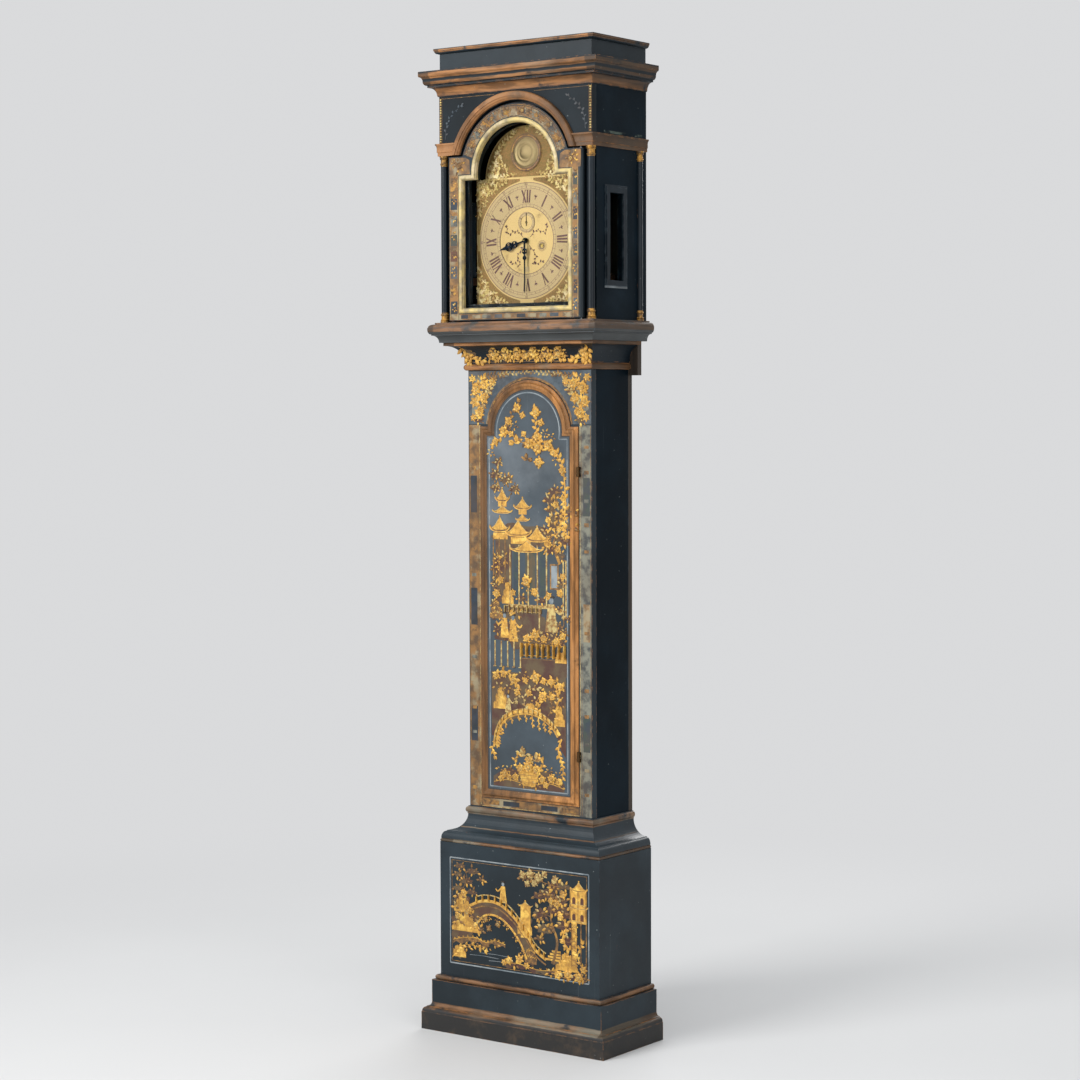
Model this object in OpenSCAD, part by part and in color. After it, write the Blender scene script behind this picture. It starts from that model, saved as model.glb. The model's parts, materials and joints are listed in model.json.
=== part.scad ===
// Longcase clock: japanned case, sliding hood, two doors, striking movement,
// pendulum and two driving weights. Millimetres, +Z up, the front faces -Y.

/* [Case widths and depths] */
// Width of the trunk
trunk_width = 373; // [366:1:382]
// Depth of the trunk from the wall to its front
trunk_depth = 170; // [168:1:176]
// How far each side of the base stands out from the trunk
base_side_out = 55.5; // [52:0.5:60]
// How far the front of the base stands out from the trunk
base_front_out = 51; // [48:1:56]
// How far each side of the hood stands out from the trunk
hood_side_out = 42.5; // [41:0.5:46]
// How far the front of the hood stands out from the trunk
hood_front_out = 57; // [55:1:62]
// How far the plain plinth band stands out from the base
plinth_out = 16; // [13:1:20]

/* [Case heights] */
// Height of the skirting
skirting_height = 67; // [60:1:76]
// Height of the plain plinth band
plinth_height = 56; // [50:1:62]
// Height of the bead on the plinth
plinth_bead_height = 12; // [10:1:14]
// Height of the base box above the bead
base_height = 335; // [315:1:355]
// Height of the moulding from the base to the trunk
waist_height = 69; // [64:1:76]
// Height of the astragal at the foot of the trunk
foot_astragal_height = 19; // [16:1:22]
// Height of the trunk front between its astragals
trunk_height = 1082; // [1072:1:1092]
// Height of the astragal at the top of the trunk
top_astragal_height = 15; // [13:1:18]
// Height of the hollow throat moulding under the hood
throat_height = 53; // [49:1:58]
// Height of the moulding around the foot of the hood
hood_foot_height = 49; // [46:1:54]
// Height of plain board between the arch of the hood and the cornice
arch_clear = 4; // [2:1:12]
// Height of the cornice
cornice_height = 60; // [54:1:66]
// Height of the box on top
caddy_height = 43; // [36:1:52]
// Height of the moulding that caps the box
caddy_cap_height = 13; // [10:1:16]

/* [Boards] */
// Thickness of the backboard
backboard_thickness = 16; // [14:1:18]
// Thickness of the side boards
side_thickness = 14; // [12:1:15]
// Thickness of the front boards
front_thickness = 18; // [17:1:19]
// Thickness of the seatboard under the movement
seatboard_thickness = 18; // [15:1:21]

/* [Moulding projections] */
// How far the throat stands out at the sides
throat_side_out = 39; // [36:1:40]
// How far the throat stands out in front
throat_front_out = 50; // [47:1:52]
// How far the foot moulding of the hood stands out
hood_foot_out = 23; // [19:1:26]
// How far the cornice stands out
cornice_out = 37; // [32:1:41]
// How far the skirting stands out from the plinth band
skirting_out = 19; // [15:1:22]

/* [Trunk door] */
// Half the width of the lipped trunk door
trunk_door_half = 148; // [145:1:151]
// Radius of the arched top of the trunk door
trunk_door_arch = 125; // [121:1:128]
// Height of the lowest edge of the trunk door above the trunk foot
trunk_door_rise = 26; // [20:1:32]
// Width of the lip moulding
lip_width = 22; // [20:1:24]
// How far the lip moulding stands out
lip_out = 10; // [8:0.5:12]

/* [Hood door] */
// Space for a column beside the hood door
column_space = 29; // [28:0.5:31]
// Radius of the arched top of the hood door
hood_door_arch = 164; // [162:0.5:165]
// Width of the door frame outside the gilt bead, at the sides
hood_stile = 30; // [28:0.5:32]
// Width of the door frame outside the gilt bead, at the arch
hood_arch_stile = 33; // [31:0.5:35]
// Width of the gilt bead
bead_width = 12; // [10:0.5:13]
// Thickness of the glass panes
glass_thickness = 3; // [2:0.5:4]

/* [Dial and movement] */
// Height of the dial centre above the hood foot moulding
dial_rise = 195; // [193:1:197]
// Width of the square part of the dial
dial_width = 305; // [301:1:309]
// Plain margin of the dial outside the hour ring
chapter_margin = 11.5; // [8:0.5:16]
// Width of the hour ring from edge to edge
chapter_band = 61; // [56:1:65]
// How far the front of the dial stands out from the trunk
dial_out = 7; // [5:0.5:9]
// Space between the dial and the movement
motion_space = 30; // [28:0.5:34]
// Diameter of the seconds ring
seconds_outer = 50; // [44:1:52]
// Thickness of the dial plate
dial_thickness = 2; // [1.5:0.5:2.5]
// Thickness of the movement plates
plate_thickness = 3; // [2.5:0.5:3.5]
// Diameter of the bell
bell_diameter = 100; // [92:2:104]

/* [Pendulum and weights] */
// Distance from the suspension to the middle of the bob
pendulum_length = 994; // [984:1:1000]
// Diameter of the bob
bob_diameter = 110; // [100:1:120]
// Thickness of the bob
bob_thickness = 24; // [20:1:26]
// Diameter of each weight
weight_diameter = 58; // [54:1:60]
// Height of each weight
weight_height = 170; // [150:1:180]
// Height of the resting weights above the foot of the base box
weight_rest = 308; // [290:1:330]
// Diameter of the lines
line_diameter = 1.6; // [1.2:0.2:2]

/* [Fits] */
// Clearance beside the doors and sliding pieces
slide_gap = 0.3; // [0.2:0.1:0.5]
// Clearance around the pivots
pivot_gap = 0.12; // [0.1:0.02:0.2]

/* [Hidden] */
$fn = 64;

// The arch of the hood stands above the arch of the dial, inside its own moulding
dial_half = dial_width / 2;
arch_lift = 9.5;
arch_gap = 7;
arch_band = 20;

// Levels, from the floor up
z_plinth = skirting_height;
z_bead = z_plinth + plinth_height;
z_base = z_bead + plinth_bead_height;
z_waist = z_base + base_height;
z_foot_astragal = z_waist + waist_height;
z_trunk = z_foot_astragal + foot_astragal_height;
z_top_astragal = z_trunk + trunk_height;
z_throat = z_top_astragal + top_astragal_height;
z_hood = z_throat + throat_height;
z_hood_floor = z_hood + hood_foot_height;
z_hood_top = z_hood_floor + dial_rise + dial_half + arch_lift + hood_door_arch
    + arch_gap + arch_band + arch_clear;
z_caddy = z_hood_top + cornice_height;
z_caddy_cap = z_caddy + caddy_height;
z_top = z_caddy_cap + caddy_cap_height;

// Half widths
trunk_half = trunk_width / 2;
trunk_inner = trunk_half - side_thickness;
base_half = trunk_half + base_side_out;
base_inner = base_half - side_thickness;
hood_half = trunk_half + hood_side_out;
hood_inner = hood_half - side_thickness;
plinth_half = base_half + plinth_out;

// The stand has its back plane at y = 0; the part is centred in depth
base_depth = trunk_depth + base_front_out;
hood_depth = trunk_depth + hood_front_out;
skirting_depth = base_depth + plinth_out + skirting_out;
cornice_depth = hood_depth + cornice_out;
back_y = max(skirting_depth, cornice_depth) / 2;

back_front = -backboard_thickness;
tiny = 0.01;

module stand() {
    translate([0, back_y, 0]) children();
}

// A flat shape in the front view, (x, z), from y = back forward by depth
module front_solid(back, depth) {
    translate([0, back, 0]) rotate([90, 0, 0]) linear_extrude(height = depth) children();
}

// A plain block between two corners
module block(low, high) {
    translate(low) cube(high - low);
}

// The same block on both sides of the middle
module pair(low, high) {
    block(low, high);
    block([-high[0], low[1], low[2]], [-low[0], high[1], high[2]]);
}

// A bar along Y at (x, z) between two depths
module bar(x, z, radius, y0, y1) {
    translate([x, y1, z]) rotate([90, 0, 0]) cylinder(r = radius, h = y1 - y0);
}

// Moulding profiles: [how far out from 0 to 1, height from 0 to 1]
quarter_steps = 10;
function out_then_rise(u0, u1, h0, h1) = [
    for (i = [0 : quarter_steps])
        let (a = 90 * i / quarter_steps)
        [u0 + (u1 - u0) * sin(a), h0 + (h1 - h0) * (1 - cos(a))]
];
function rise_then_out(u0, u1, h0, h1) = [
    for (i = [0 : quarter_steps])
        let (a = 90 * i / quarter_steps)
        [u0 + (u1 - u0) * (1 - cos(a)), h0 + (h1 - h0) * sin(a)]
];
function bulge(u, h0, h1, u0) = [
    for (i = [0 : 2 * quarter_steps])
        let (a = 90 * i / quarter_steps - 90)
        [u0 + (u - u0) * cos(a), (h0 + h1) / 2 + (h1 - h0) / 2 * sin(a)]
];

// A moulding around the front and the two sides, mitred at the corners
module moulding(half, depth, side_out, front_out, base, height, profile, rear = 0) {
    side_shape = concat([[0, 0]], [for (p = profile) [p[0] * side_out, p[1] * height]],
        [[0, height]]);
    front_shape = concat([[0, 0]], [for (p = profile) [p[0] * front_out, p[1] * height]],
        [[0, height]]);
    wide = half + side_out;
    deep = depth + front_out;
    for (side = [-1, 1])
        intersection() {
            translate([side * half, 0, base])
                rotate([90, 0, 0])
                    linear_extrude(height = deep)
                        polygon([for (p = side_shape) [side * p[0], p[1]]]);
            translate([0, 0, base - 1])
                linear_extrude(height = height + 2)
                    polygon([[side * half, rear], [side * half, -depth],
                        [side * wide, -deep], [side * wide, rear]]);
        }
    intersection() {
        translate([-wide, -depth, base])
            rotate([90, 0, 90])
                linear_extrude(height = 2 * wide)
                    polygon([for (p = front_shape) [-p[0], p[1]]]);
        translate([0, 0, base - 1])
            linear_extrude(height = height + 2)
                polygon([[-half, -depth], [-wide, -deep], [wide, -deep], [half, -depth]]);
    }
}

// A break-arch outline in the front view
module arched(half, low, shoulder, radius, centre) {
    translate([-half, low]) square([2 * half, shoulder - low]);
    translate([0, centre]) circle(r = radius, $fn = 96);
}

// A mitred frame moulding that follows a break-arch outline, from y = back
// forward; shape holds [distance in from the edge, height of the moulding]
module arched_frame(half, low, shoulder, radius, centre, width, thick, back, shape) {
    outer_x = sqrt(pow(radius, 2) - pow(shoulder - centre, 2));
    inner_x = sqrt(pow(radius - width, 2) - pow(shoulder - width - centre, 2));
    top = centre + radius + 1;
    core = 0.5;
    translate([0, back, 0]) {
        // Spline that keeps the mitred lengths together
        front_solid(-core, 3 * core)
            difference() {
                arched(half - core, low + core, shoulder - core, radius - core, centre);
                arched(half - width + core, low + width - core, shoulder - width + core,
                    radius - width + core, centre);
            }
        for (side = [-1, 1]) {
            intersection() {
                translate([0, 0, low]) linear_extrude(height = shoulder - low)
                    polygon([for (p = shape) [side * (half - p[0]), -p[1]]]);
                front_solid(1, thick + 2)
                    polygon([[side * (half - width), low + width], [side * half, low],
                        [side * half, shoulder], [side * (half - width), shoulder - width]]);
            }
            intersection() {
                translate([-half, 0, shoulder]) rotate([90, 0, 90])
                    linear_extrude(height = 2 * half)
                        polygon([for (p = shape) [-p[1], -p[0]]]);
                front_solid(1, thick + 2)
                    polygon([[side * half, shoulder], [side * outer_x, shoulder],
                        [side * inner_x, shoulder - width],
                        [side * (half - width), shoulder - width]]);
            }
        }
        intersection() {
            translate([-half, 0, low]) rotate([90, 0, 90]) linear_extrude(height = 2 * half)
                polygon([for (p = shape) [-p[1], p[0]]]);
            front_solid(1, thick + 2)
                polygon([[-half, low], [half, low], [half - width, low + width],
                    [width - half, low + width]]);
        }
        intersection() {
            translate([0, 0, centre]) rotate([90, 0, 0]) rotate_extrude($fn = 96)
                polygon([for (p = shape) [radius - p[0], p[1]]]);
            front_solid(1, thick + 2)
                polygon([[inner_x, shoulder - width], [outer_x, shoulder],
                    [radius + 1, shoulder], [radius + 1, top], [-radius - 1, top],
                    [-radius - 1, shoulder], [-outer_x, shoulder],
                    [-inner_x, shoulder - width]]);
        }
    }
}

// Levels and outlines shared by the case and what stands in it
z_dial = z_hood_floor + dial_rise;
plate_half_width = 94;
plate_half_height = 84;
z_seat_top = z_dial - plate_half_height;
z_seat = z_seat_top - seatboard_thickness;
frame_back = -(trunk_depth - front_thickness);
trunk_door_low = z_trunk + trunk_door_rise;
trunk_arch_z = z_top_astragal - 150;
trunk_shoulder = trunk_arch_z + 12;
opening_half = trunk_door_half - 10;
opening_arch = trunk_door_arch - 12;
opening_low = trunk_door_low + 16;
wing_half = hood_inner - 0.5;
japan = "#1b2429";
worn = "#8a6440";
oak = "#7a5a3a";
gilt = "#c9a24e";
brass = "#c9b06a";
steel = "#8d9297";

// Case: one board at the back with ears behind the hood and the base
module backboard() color(oak) stand() {
    ear = z_top_astragal - 14;
    top = z_hood_top - 19;
    front_solid(0, backboard_thickness)
        polygon([[-base_inner, 0], [base_inner, 0], [base_inner, z_waist],
            [trunk_half, z_waist], [trunk_half, ear], [wing_half, ear], [wing_half, top],
            [-wing_half, top], [-wing_half, ear], [-trunk_half, ear],
            [-trunk_half, z_waist], [-base_inner, z_waist]]);
}

// The sides of the trunk run down into the base and up as cheeks
rail_z = z_hood + 15;
module trunk_sides() color(japan) stand() {
    pair([trunk_inner, frame_back, z_waist - 50], [trunk_half, back_front, z_seat]);
    // Rails that the runners of the hood pass under
    pair([trunk_half, -trunk_depth + 22, rail_z],
        [hood_inner - 3, back_front, rail_z + 12]);
}

hinge_height = 24;
hinge_levels = [trunk_door_low + 110, trunk_shoulder - 120];
hinge_x = trunk_door_half + 2;
hinge_y = -(trunk_depth + slide_gap + 5.5);
knuckle = 3.5;
leaf = 1.2;
hinge_pin = 1.25;

module trunk_front() color(japan) stand() {
    difference() {
        front_solid(frame_back, front_thickness)
            translate([-trunk_half, z_waist])
                square([trunk_width, z_hood - slide_gap - z_waist]);
        front_solid(frame_back + 1, front_thickness + 2)
            arched(opening_half, opening_low, trunk_arch_z, opening_arch, trunk_arch_z);
        for (level = hinge_levels)
            block([hinge_x + 1, -trunk_depth - 1, level],
                [hinge_x + 16, -trunk_depth + leaf, level + hinge_height]);
    }
}

// Leaves and outer knuckles of the trunk door's hinges, with their pins
module trunk_hinge_leaves() color(brass) stand() {
    third = hinge_height / 3;
    for (level = hinge_levels) {
        difference() {
            union() {
                block([hinge_x + 1, -trunk_depth, level],
                    [hinge_x + 16, -trunk_depth + leaf, level + hinge_height]);
                for (z = [level, level + 2 * third]) {
                    translate([hinge_x, hinge_y, z]) cylinder(r = knuckle, h = third);
                    block([hinge_x + 1, hinge_y, z],
                        [hinge_x + knuckle, -trunk_depth + tiny, z + third]);
                }
            }
            translate([hinge_x, hinge_y, level - 1])
                cylinder(r = hinge_pin, h = hinge_height + 2);
        }
        translate([hinge_x, hinge_y, level]) cylinder(r = hinge_pin, h = hinge_height);
    }
}

module throat_moulding() color(worn) stand() {
    moulding(trunk_half, trunk_depth, 8, 9, z_top_astragal, top_astragal_height,
        bulge(1, 0, 1, 0.3), back_front);
    moulding(trunk_half, trunk_depth, throat_side_out, throat_front_out, z_throat,
        throat_height - slide_gap,
        concat([[0.08, 0], [0.08, 0.06]], rise_then_out(0.12, 0.93, 0.06, 0.86),
            [[1, 0.86], [1, 1]]), back_front);
}

module waist_moulding() color(worn) stand() {
    moulding(trunk_half, trunk_depth, base_half - trunk_half, base_depth - trunk_depth,
        z_waist, waist_height,
        concat(bulge(1, 0, 0.1, 0.95), rise_then_out(0.97, 0.8, 0.12, 0.37),
            out_then_rise(0.76, 0.07, 0.4, 1)));
    moulding(trunk_half, trunk_depth, 8, 9, z_foot_astragal, foot_astragal_height,
        concat([[0.6, 0], [0.6, 0.12]], bulge(1, 0.16, 0.88, 0.5), [[0.4, 0.92], [0.4, 1]]));
}

// Base: front and side boards
module base_box() color(japan) stand() {
    block([-base_half, -base_depth, 0],
        [base_half, -base_depth + front_thickness, z_waist]);
    pair([base_inner, -base_depth + front_thickness, 0], [base_half, 0, z_waist]);
}

module plinth() color(worn) stand() {
    moulding(base_half, base_depth, plinth_out, plinth_out, z_plinth, plinth_height,
        [[1, 0], [1, 1]]);
    moulding(base_half, base_depth, plinth_out - 6, plinth_out - 6, z_bead,
        plinth_bead_height, bulge(1, 0, 1, 0.5));
    out = plinth_out + skirting_out;
    inner = plinth_out / out;
    middle = (1 + inner) / 2;
    moulding(base_half, base_depth, out, out, 0, skirting_height,
        concat([[1, 0], [1, 0.64]], rise_then_out(0.97, middle, 0.66, 0.82),
            out_then_rise(middle, inner, 0.84, 1)));
}

// Seatboard with slots and holes for the lines
plates_gap = 62;
dial_back = -(trunk_depth + dial_out - dial_thickness);
plates_front = dial_back + motion_space;
inner_face = plates_front + plate_thickness;
back_plate_front = inner_face + plates_gap;
back_plate_back = back_plate_front + plate_thickness;
line_y = inner_face + plates_gap / 2;
line_radius = line_diameter / 2;
barrel_x = 46;
barrel_radius = 25;
pulley_radius = 22;
lead_x = [barrel_x - barrel_radius - line_radius, -barrel_x - barrel_radius - line_radius];
pulley_x = [lead_x[0] + pulley_radius + line_radius,
    lead_x[1] + pulley_radius + line_radius];
return_x = [for (x = pulley_x) x + pulley_radius + line_radius];
seat_front = plates_front - 5;
seat_back = back_plate_back + 6;
module seatboard() color(oak) stand() {
    difference() {
        block([-trunk_half, seat_front, z_seat], [trunk_half, seat_back, z_seat_top]);
        for (x = lead_x)
            block([x - 4, line_y - 22, z_seat - 1], [x + 4, line_y + 22, z_seat_top + 1]);
        for (x = return_x)
            translate([x, line_y, z_seat - 1])
                cylinder(r = line_radius + 0.4, h = seatboard_thickness + 2);
    }
}

// Hood: shared outlines. The break-arch centre stands above the dial centre
dial_arch_z = z_dial + dial_half;
hood_arch_z = dial_arch_z + arch_lift;
hood_door_half = hood_half - column_space;
bead_half = hood_door_half - hood_stile;
bead_arch = hood_door_arch - hood_arch_stile;
hood_door_low = z_hood_floor + 4;
hood_shoulder = hood_arch_z + 46;
frieze_z = hood_shoulder + 4;
architrave_height = 30;
hood_door_thickness = front_thickness - 0.5;
hood_front_back = -(hood_depth - front_thickness);
frieze_cut = hood_door_arch + arch_gap;
pivot_radius = hood_door_thickness / 2;
pivot_x = hood_door_half - pivot_radius;
pivot_y = -hood_depth + pivot_radius;
pivot_pin = 1.6;
column_radius = 8.5;
column_x = hood_half - column_radius;
column_y = -hood_depth + column_radius;
cap_height = 25;
window_low = z_hood_floor + 93;
window_high = window_low + 208;
window_front = -(hood_depth - 69);
window_back = window_front + 56;
window_border = 22;
mask_thickness = 12;
glass_back = hood_front_back + 6;

module hood_sides() color(japan) stand() {
    difference() {
        pair([hood_inner, hood_front_back, z_hood], [hood_half, 0, z_hood_top]);
        block([-hood_half - 1, window_front, window_low],
            [hood_half + 1, window_back, window_high]);
    }
    block([-hood_inner, hood_front_back, z_hood_top - 12], [hood_inner, 0, z_hood_top]);
    pair([hood_inner - 11, -trunk_depth + 26, z_hood + 1],
        [hood_inner, back_front - 5, rail_z - 1]);
}

// A raised frame around each side window, with the pane inside it
module window_frames() color(worn) stand() {
    for (side = [-1, 1])
        difference() {
            union() {
                block([min(side * hood_half, side * (hood_half + 2)),
                        window_front - window_border + 4, window_low - window_border + 4],
                    [max(side * hood_half, side * (hood_half + 2)),
                        window_back + window_border - 4, window_high + window_border - 4]);
                block([min(side * hood_half, side * (hood_half + 4)),
                        window_front - window_border + 9, window_low - window_border + 9],
                    [max(side * hood_half, side * (hood_half + 4)),
                        window_back + window_border - 9, window_high + window_border - 9]);
            }
            block([-hood_half - 9, window_front, window_low],
                [hood_half + 9, window_back, window_high]);
        }
}

module window_glass() color([0.75, 0.82, 0.82, 0.35]) stand() {
    pair([hood_half - 8, window_front, window_low],
        [hood_half - 8 + glass_thickness, window_back, window_high]);
}

// Bottom rail and the frieze board, cut for the arched door
module hood_front() color(japan) stand() {
    difference() {
        union() {
            block([-hood_half, -hood_depth, z_hood],
                [hood_half, hood_front_back, z_hood_floor]);
            block([-hood_half, -hood_depth, frieze_z],
                [hood_half, hood_front_back, z_hood_top]);
        }
        bar(0, hood_arch_z, frieze_cut, -hood_depth - 1, hood_front_back + 1);
        for (z = [z_hood_floor - 6, frieze_z - 1])
            translate([pivot_x, pivot_y, z]) cylinder(r = pivot_pin + pivot_gap, h = 7);
    }
}

module hood_foot_moulding() color(worn) stand() {
    moulding(hood_half, hood_depth, hood_foot_out, hood_foot_out, z_hood,
        hood_foot_height,
        concat([[0.06, 0]], rise_then_out(0.1, 0.62, 0, 0.36), [[0.7, 0.36], [0.7, 0.42]],
            out_then_rise(0.74, 1, 0.42, 0.66), [[1, 0.74]],
            rise_then_out(0.96, 0.5, 0.74, 0.92), [[0.42, 0.92], [0.42, 1]]));
}

// Band around the arch of the hood and the architrave it springs from
module hood_arch_moulding() color(worn) stand() {
    inner = frieze_cut + 1;
    outer = inner + arch_band;
    proud = 12;
    intersection() {
        translate([0, -hood_depth, hood_arch_z]) rotate([90, 0, 0]) rotate_extrude($fn = 128)
            polygon(concat([[inner, 0], [inner, 5], [inner + 2, 7]],
                [for (i = [0 : 8]) [inner + 3 + 5 * (1 - cos(i * 11.25)),
                    7 + 3 * sin(i * 11.25)]],
                [[inner + 9, proud - 2], [inner + 9, proud], [outer - 2, proud],
                    [outer, proud - 2], [outer, 0]]));
        front_solid(-hood_depth + 1, proud + 3)
            translate([-outer - 1, frieze_z]) square([2 * outer + 2, outer + 60]);
    }
    difference() {
        moulding(hood_half, hood_depth, 8, 8, frieze_z, architrave_height,
            concat([[0.4, 0], [0.4, 0.3], [0.6, 0.3], [0.6, 0.6]],
                rise_then_out(0.6, 1, 0.6, 0.88), [[1, 1]]));
        bar(0, hood_arch_z, outer, -hood_depth - 20, -hood_depth + 5);
    }
}

module hood_cornice() color(worn) stand() {
    moulding(hood_half, hood_depth, cornice_out, cornice_out, z_hood_top, cornice_height,
        concat([[0.08, 0], [0.08, 0.05]], rise_then_out(0.1, 0.5, 0.05, 0.36),
            [[0.56, 0.36], [0.56, 0.44]], out_then_rise(0.58, 0.78, 0.44, 0.6),
            rise_then_out(0.78, 0.96, 0.6, 0.78), [[1, 0.82], [1, 1]]));
}

// Flat box on the cornice with its own cap moulding
module hood_caddy() color(japan) stand() {
    half = hood_half - 1.5;
    depth = hood_depth - 1;
    block([-half, -depth, z_caddy], [half, 0, z_top]);
    block([-hood_half, -hood_depth, z_hood_top], [hood_half, 0, z_caddy]);
    moulding(half, depth, 11.5, 11, z_caddy_cap, caddy_cap_height,
        concat([[0.2, 0]], out_then_rise(0.3, 0.85, 0.05, 0.55), [[1, 0.6], [1, 1]]));
}

// Round columns at the front corners, half columns at the back
column_low = z_hood_floor + cap_height;
column_high = frieze_z - cap_height;
rear_y = -30;
module hood_columns() color(japan) stand() {
    for (side = [-1, 1]) {
        translate([side * column_x, column_y, column_low])
            cylinder(r = column_radius, h = column_high - column_low);
        difference() {
            translate([side * hood_half, rear_y, column_low])
                cylinder(r = column_radius, h = column_high - column_low);
            block([side * (hood_half - 10) - 10, rear_y - 20, column_low - 1],
                [side * (hood_half - 10) + 10, rear_y + 20, column_high + 1]);
        }
    }
}

// Turned brass caps and bases, drawn once and stood at both ends
module turned_cap(radius) {
    rotate_extrude()
        polygon(concat([[0, 0], [radius + 3, 0], [radius + 3, 4]],
            [for (i = [0 : 8]) [radius + 0.6 + 2 * cos(i * 22.5 - 90), 4 + i * 0.6]],
            [[radius + 0.4, 9], [radius + 0.4, 17], [radius + 1.6, 18],
                [radius + 2, 19.5], [radius + 1.6, 21], [radius + 0.3, 22.5],
                [radius + 0.3, cap_height], [0, cap_height]]));
}

module column_caps() color(gilt) stand() {
    for (side = [-1, 1], top = [0, 1]) {
        z = top == 1 ? frieze_z : z_hood_floor;
        intersection() {
            translate([side * column_x, column_y, z]) rotate([top * 180, 0, 0])
                turned_cap(column_radius);
            block([side * (column_x + 4) - 20, column_y - 20, z_hood_floor],
                [side * (column_x + 4) + 20, hood_front_back, frieze_z]);
        }
        difference() {
            translate([side * hood_half, rear_y, z]) rotate([top * 180, 0, 0])
                turned_cap(column_radius);
            block([side * (hood_half - 10) - 10, rear_y - 20, z_hood_floor - 1],
                [side * (hood_half - 10) + 10, rear_y + 20, frieze_z + 1]);
        }
    }
}

// Mask board that frames the dial behind the hood door
mask_half = dial_width / 2 - 1;
module dial_mask() color(japan) stand() {
    difference() {
        front_solid(hood_front_back + mask_thickness, mask_thickness)
            translate([-hood_inner, z_hood_floor])
                square([2 * hood_inner, z_hood_top - 12 - z_hood_floor]);
        front_solid(hood_front_back + mask_thickness + 1, mask_thickness + 2)
            arched(mask_half, z_dial - mask_half, dial_arch_z, mask_half - 25,
                dial_arch_z);
    }
}

// Hood door: a framed board with rounded hinge edge
module hood_door() color(japan) stand() {
    opening = bead_half + 0.15;
    arch = bead_arch + 0.15;
    back = -hood_depth + hood_door_thickness;
    difference() {
        union() {
            front_solid(back, hood_door_thickness)
                translate([-hood_door_half, hood_door_low])
                    square([hood_door_half + pivot_x, hood_shoulder - hood_door_low]);
            bar(0, hood_arch_z, hood_door_arch, -hood_depth, back);
            translate([pivot_x, pivot_y, hood_door_low])
                cylinder(r = pivot_radius, h = hood_shoulder - hood_door_low);
        }
        front_solid(back + 1, hood_door_thickness + 2)
            arched(opening, bead_low - 0.15, hood_arch_z, arch, hood_arch_z);
        for (z = [hood_door_low - 1, hood_shoulder - 14])
            translate([pivot_x, pivot_y, z]) cylinder(r = pivot_pin, h = 15);
    }
}

bead_low = z_hood_floor + 22;
bead_depth = 14;
module hood_door_bead() color(gilt) stand() {
    back = -hood_depth + bead_depth - 3;
    arched_frame(bead_half, bead_low, hood_arch_z, bead_arch, hood_arch_z, bead_width,
        bead_depth, back,
        concat([[0, 0], [0, bead_depth - 3]],
            [for (i = [0 : 8]) let (a = 180 - 22.5 * i)
                [bead_width * 0.42 * (1 + cos(a)) + 0.4, bead_depth - 3 + 3 * sin(a)]],
            [[bead_width - 1, bead_depth - 5], [bead_width, bead_depth - 6],
                [bead_width, 0]]));
}

module hood_door_glass() color([0.8, 0.86, 0.86, 0.25]) stand() {
    front_solid(-hood_depth + bead_depth - 3 + glass_thickness, glass_thickness)
        arched(bead_half, bead_low, hood_arch_z, bead_arch, hood_arch_z);
}

module hood_door_pins() color(steel) stand() {
    for (z = [z_hood_floor - 5, hood_shoulder - 14])
        translate([pivot_x, pivot_y, z]) cylinder(r = pivot_pin, h = 23);
}

// Trunk door: a board in the opening, a lip moulding in front of the frame
lip_back = -(trunk_depth + slide_gap);
field_front = lip_back - 5.7;
module trunk_door() color(japan) stand() {
    front_solid(frame_back - 6, frame_back - 6 - lip_back)
        arched(opening_half - 2, opening_low + 2, trunk_arch_z, opening_arch - 2,
            trunk_arch_z);
    front_solid(lip_back, lip_back - field_front)
        arched(trunk_door_half - lip_width, trunk_door_low + lip_width,
            trunk_shoulder - lip_width, trunk_door_arch - lip_width, trunk_arch_z);
}

module trunk_door_lip() color(worn) stand() {
    difference() {
        arched_frame(trunk_door_half, trunk_door_low, trunk_shoulder, trunk_door_arch,
            trunk_arch_z, lip_width, lip_out, lip_back,
            concat([[0, 0], [0, 3], [1.5, 3]],
                [for (i = [0 : 6]) let (a = 15 * i)
                    [1.5 + 7 * sin(a), 3.5 + (lip_out - 3.5) * (1 - cos(a))]],
                [for (i = [0 : 6]) let (a = 15 * i)
                    [10 + 5 * sin(a), lip_out - 1.5 * (1 - cos(a))]],
                [[lip_width - 5, lip_out - 3], [lip_width - 1, lip_out - 4],
                    [lip_width, lip_out - 4.5], [lip_width, 0]]));
        for (level = hinge_levels) {
            block([hinge_x - 6, lip_back - lip_out - 1, level - 0.5],
                [hinge_x, lip_back + 1, level + hinge_height + 0.5]);
            block([hinge_x - 17, lip_back - leaf, level],
                [hinge_x - 5, lip_back + 1, level + hinge_height]);
        }
    }
}

// The door's own leaves with the middle knuckles
module trunk_door_hinges() color(brass) stand() {
    third = hinge_height / 3;
    for (level = hinge_levels)
        difference() {
            union() {
                block([hinge_x - 17, lip_back - leaf, level],
                    [hinge_x - 5, lip_back, level + hinge_height]);
                block([hinge_x - 6, lip_back - leaf, level + third + 0.1],
                    [hinge_x - 1, lip_back, level + 2 * third - 0.1]);
                translate([hinge_x, hinge_y, level + third + 0.1])
                    cylinder(r = knuckle, h = third - 0.2);
                block([hinge_x - knuckle, hinge_y, level + third + 0.1],
                    [hinge_x - 1.6, lip_back, level + 2 * third - 0.1]);
            }
            translate([hinge_x, hinge_y, level - 1])
                cylinder(r = hinge_pin + pivot_gap, h = hinge_height + 2);
        }
}

// Movement. The plates stand on the seatboard; depth is measured back from the
// inner face of the front plate, and a place in a plate is (x, z) from the dial
// centre
arbor = 2;
tip = 1.2;

function polar(from, distance, angle) = from + distance * [cos(angle), sin(angle)];
function angle_to(a, b) = atan2(b[1] - a[1], b[0] - a[0]);
function centres(size, teeth, leaves) = size * (teeth + leaves) / 2;

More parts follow.
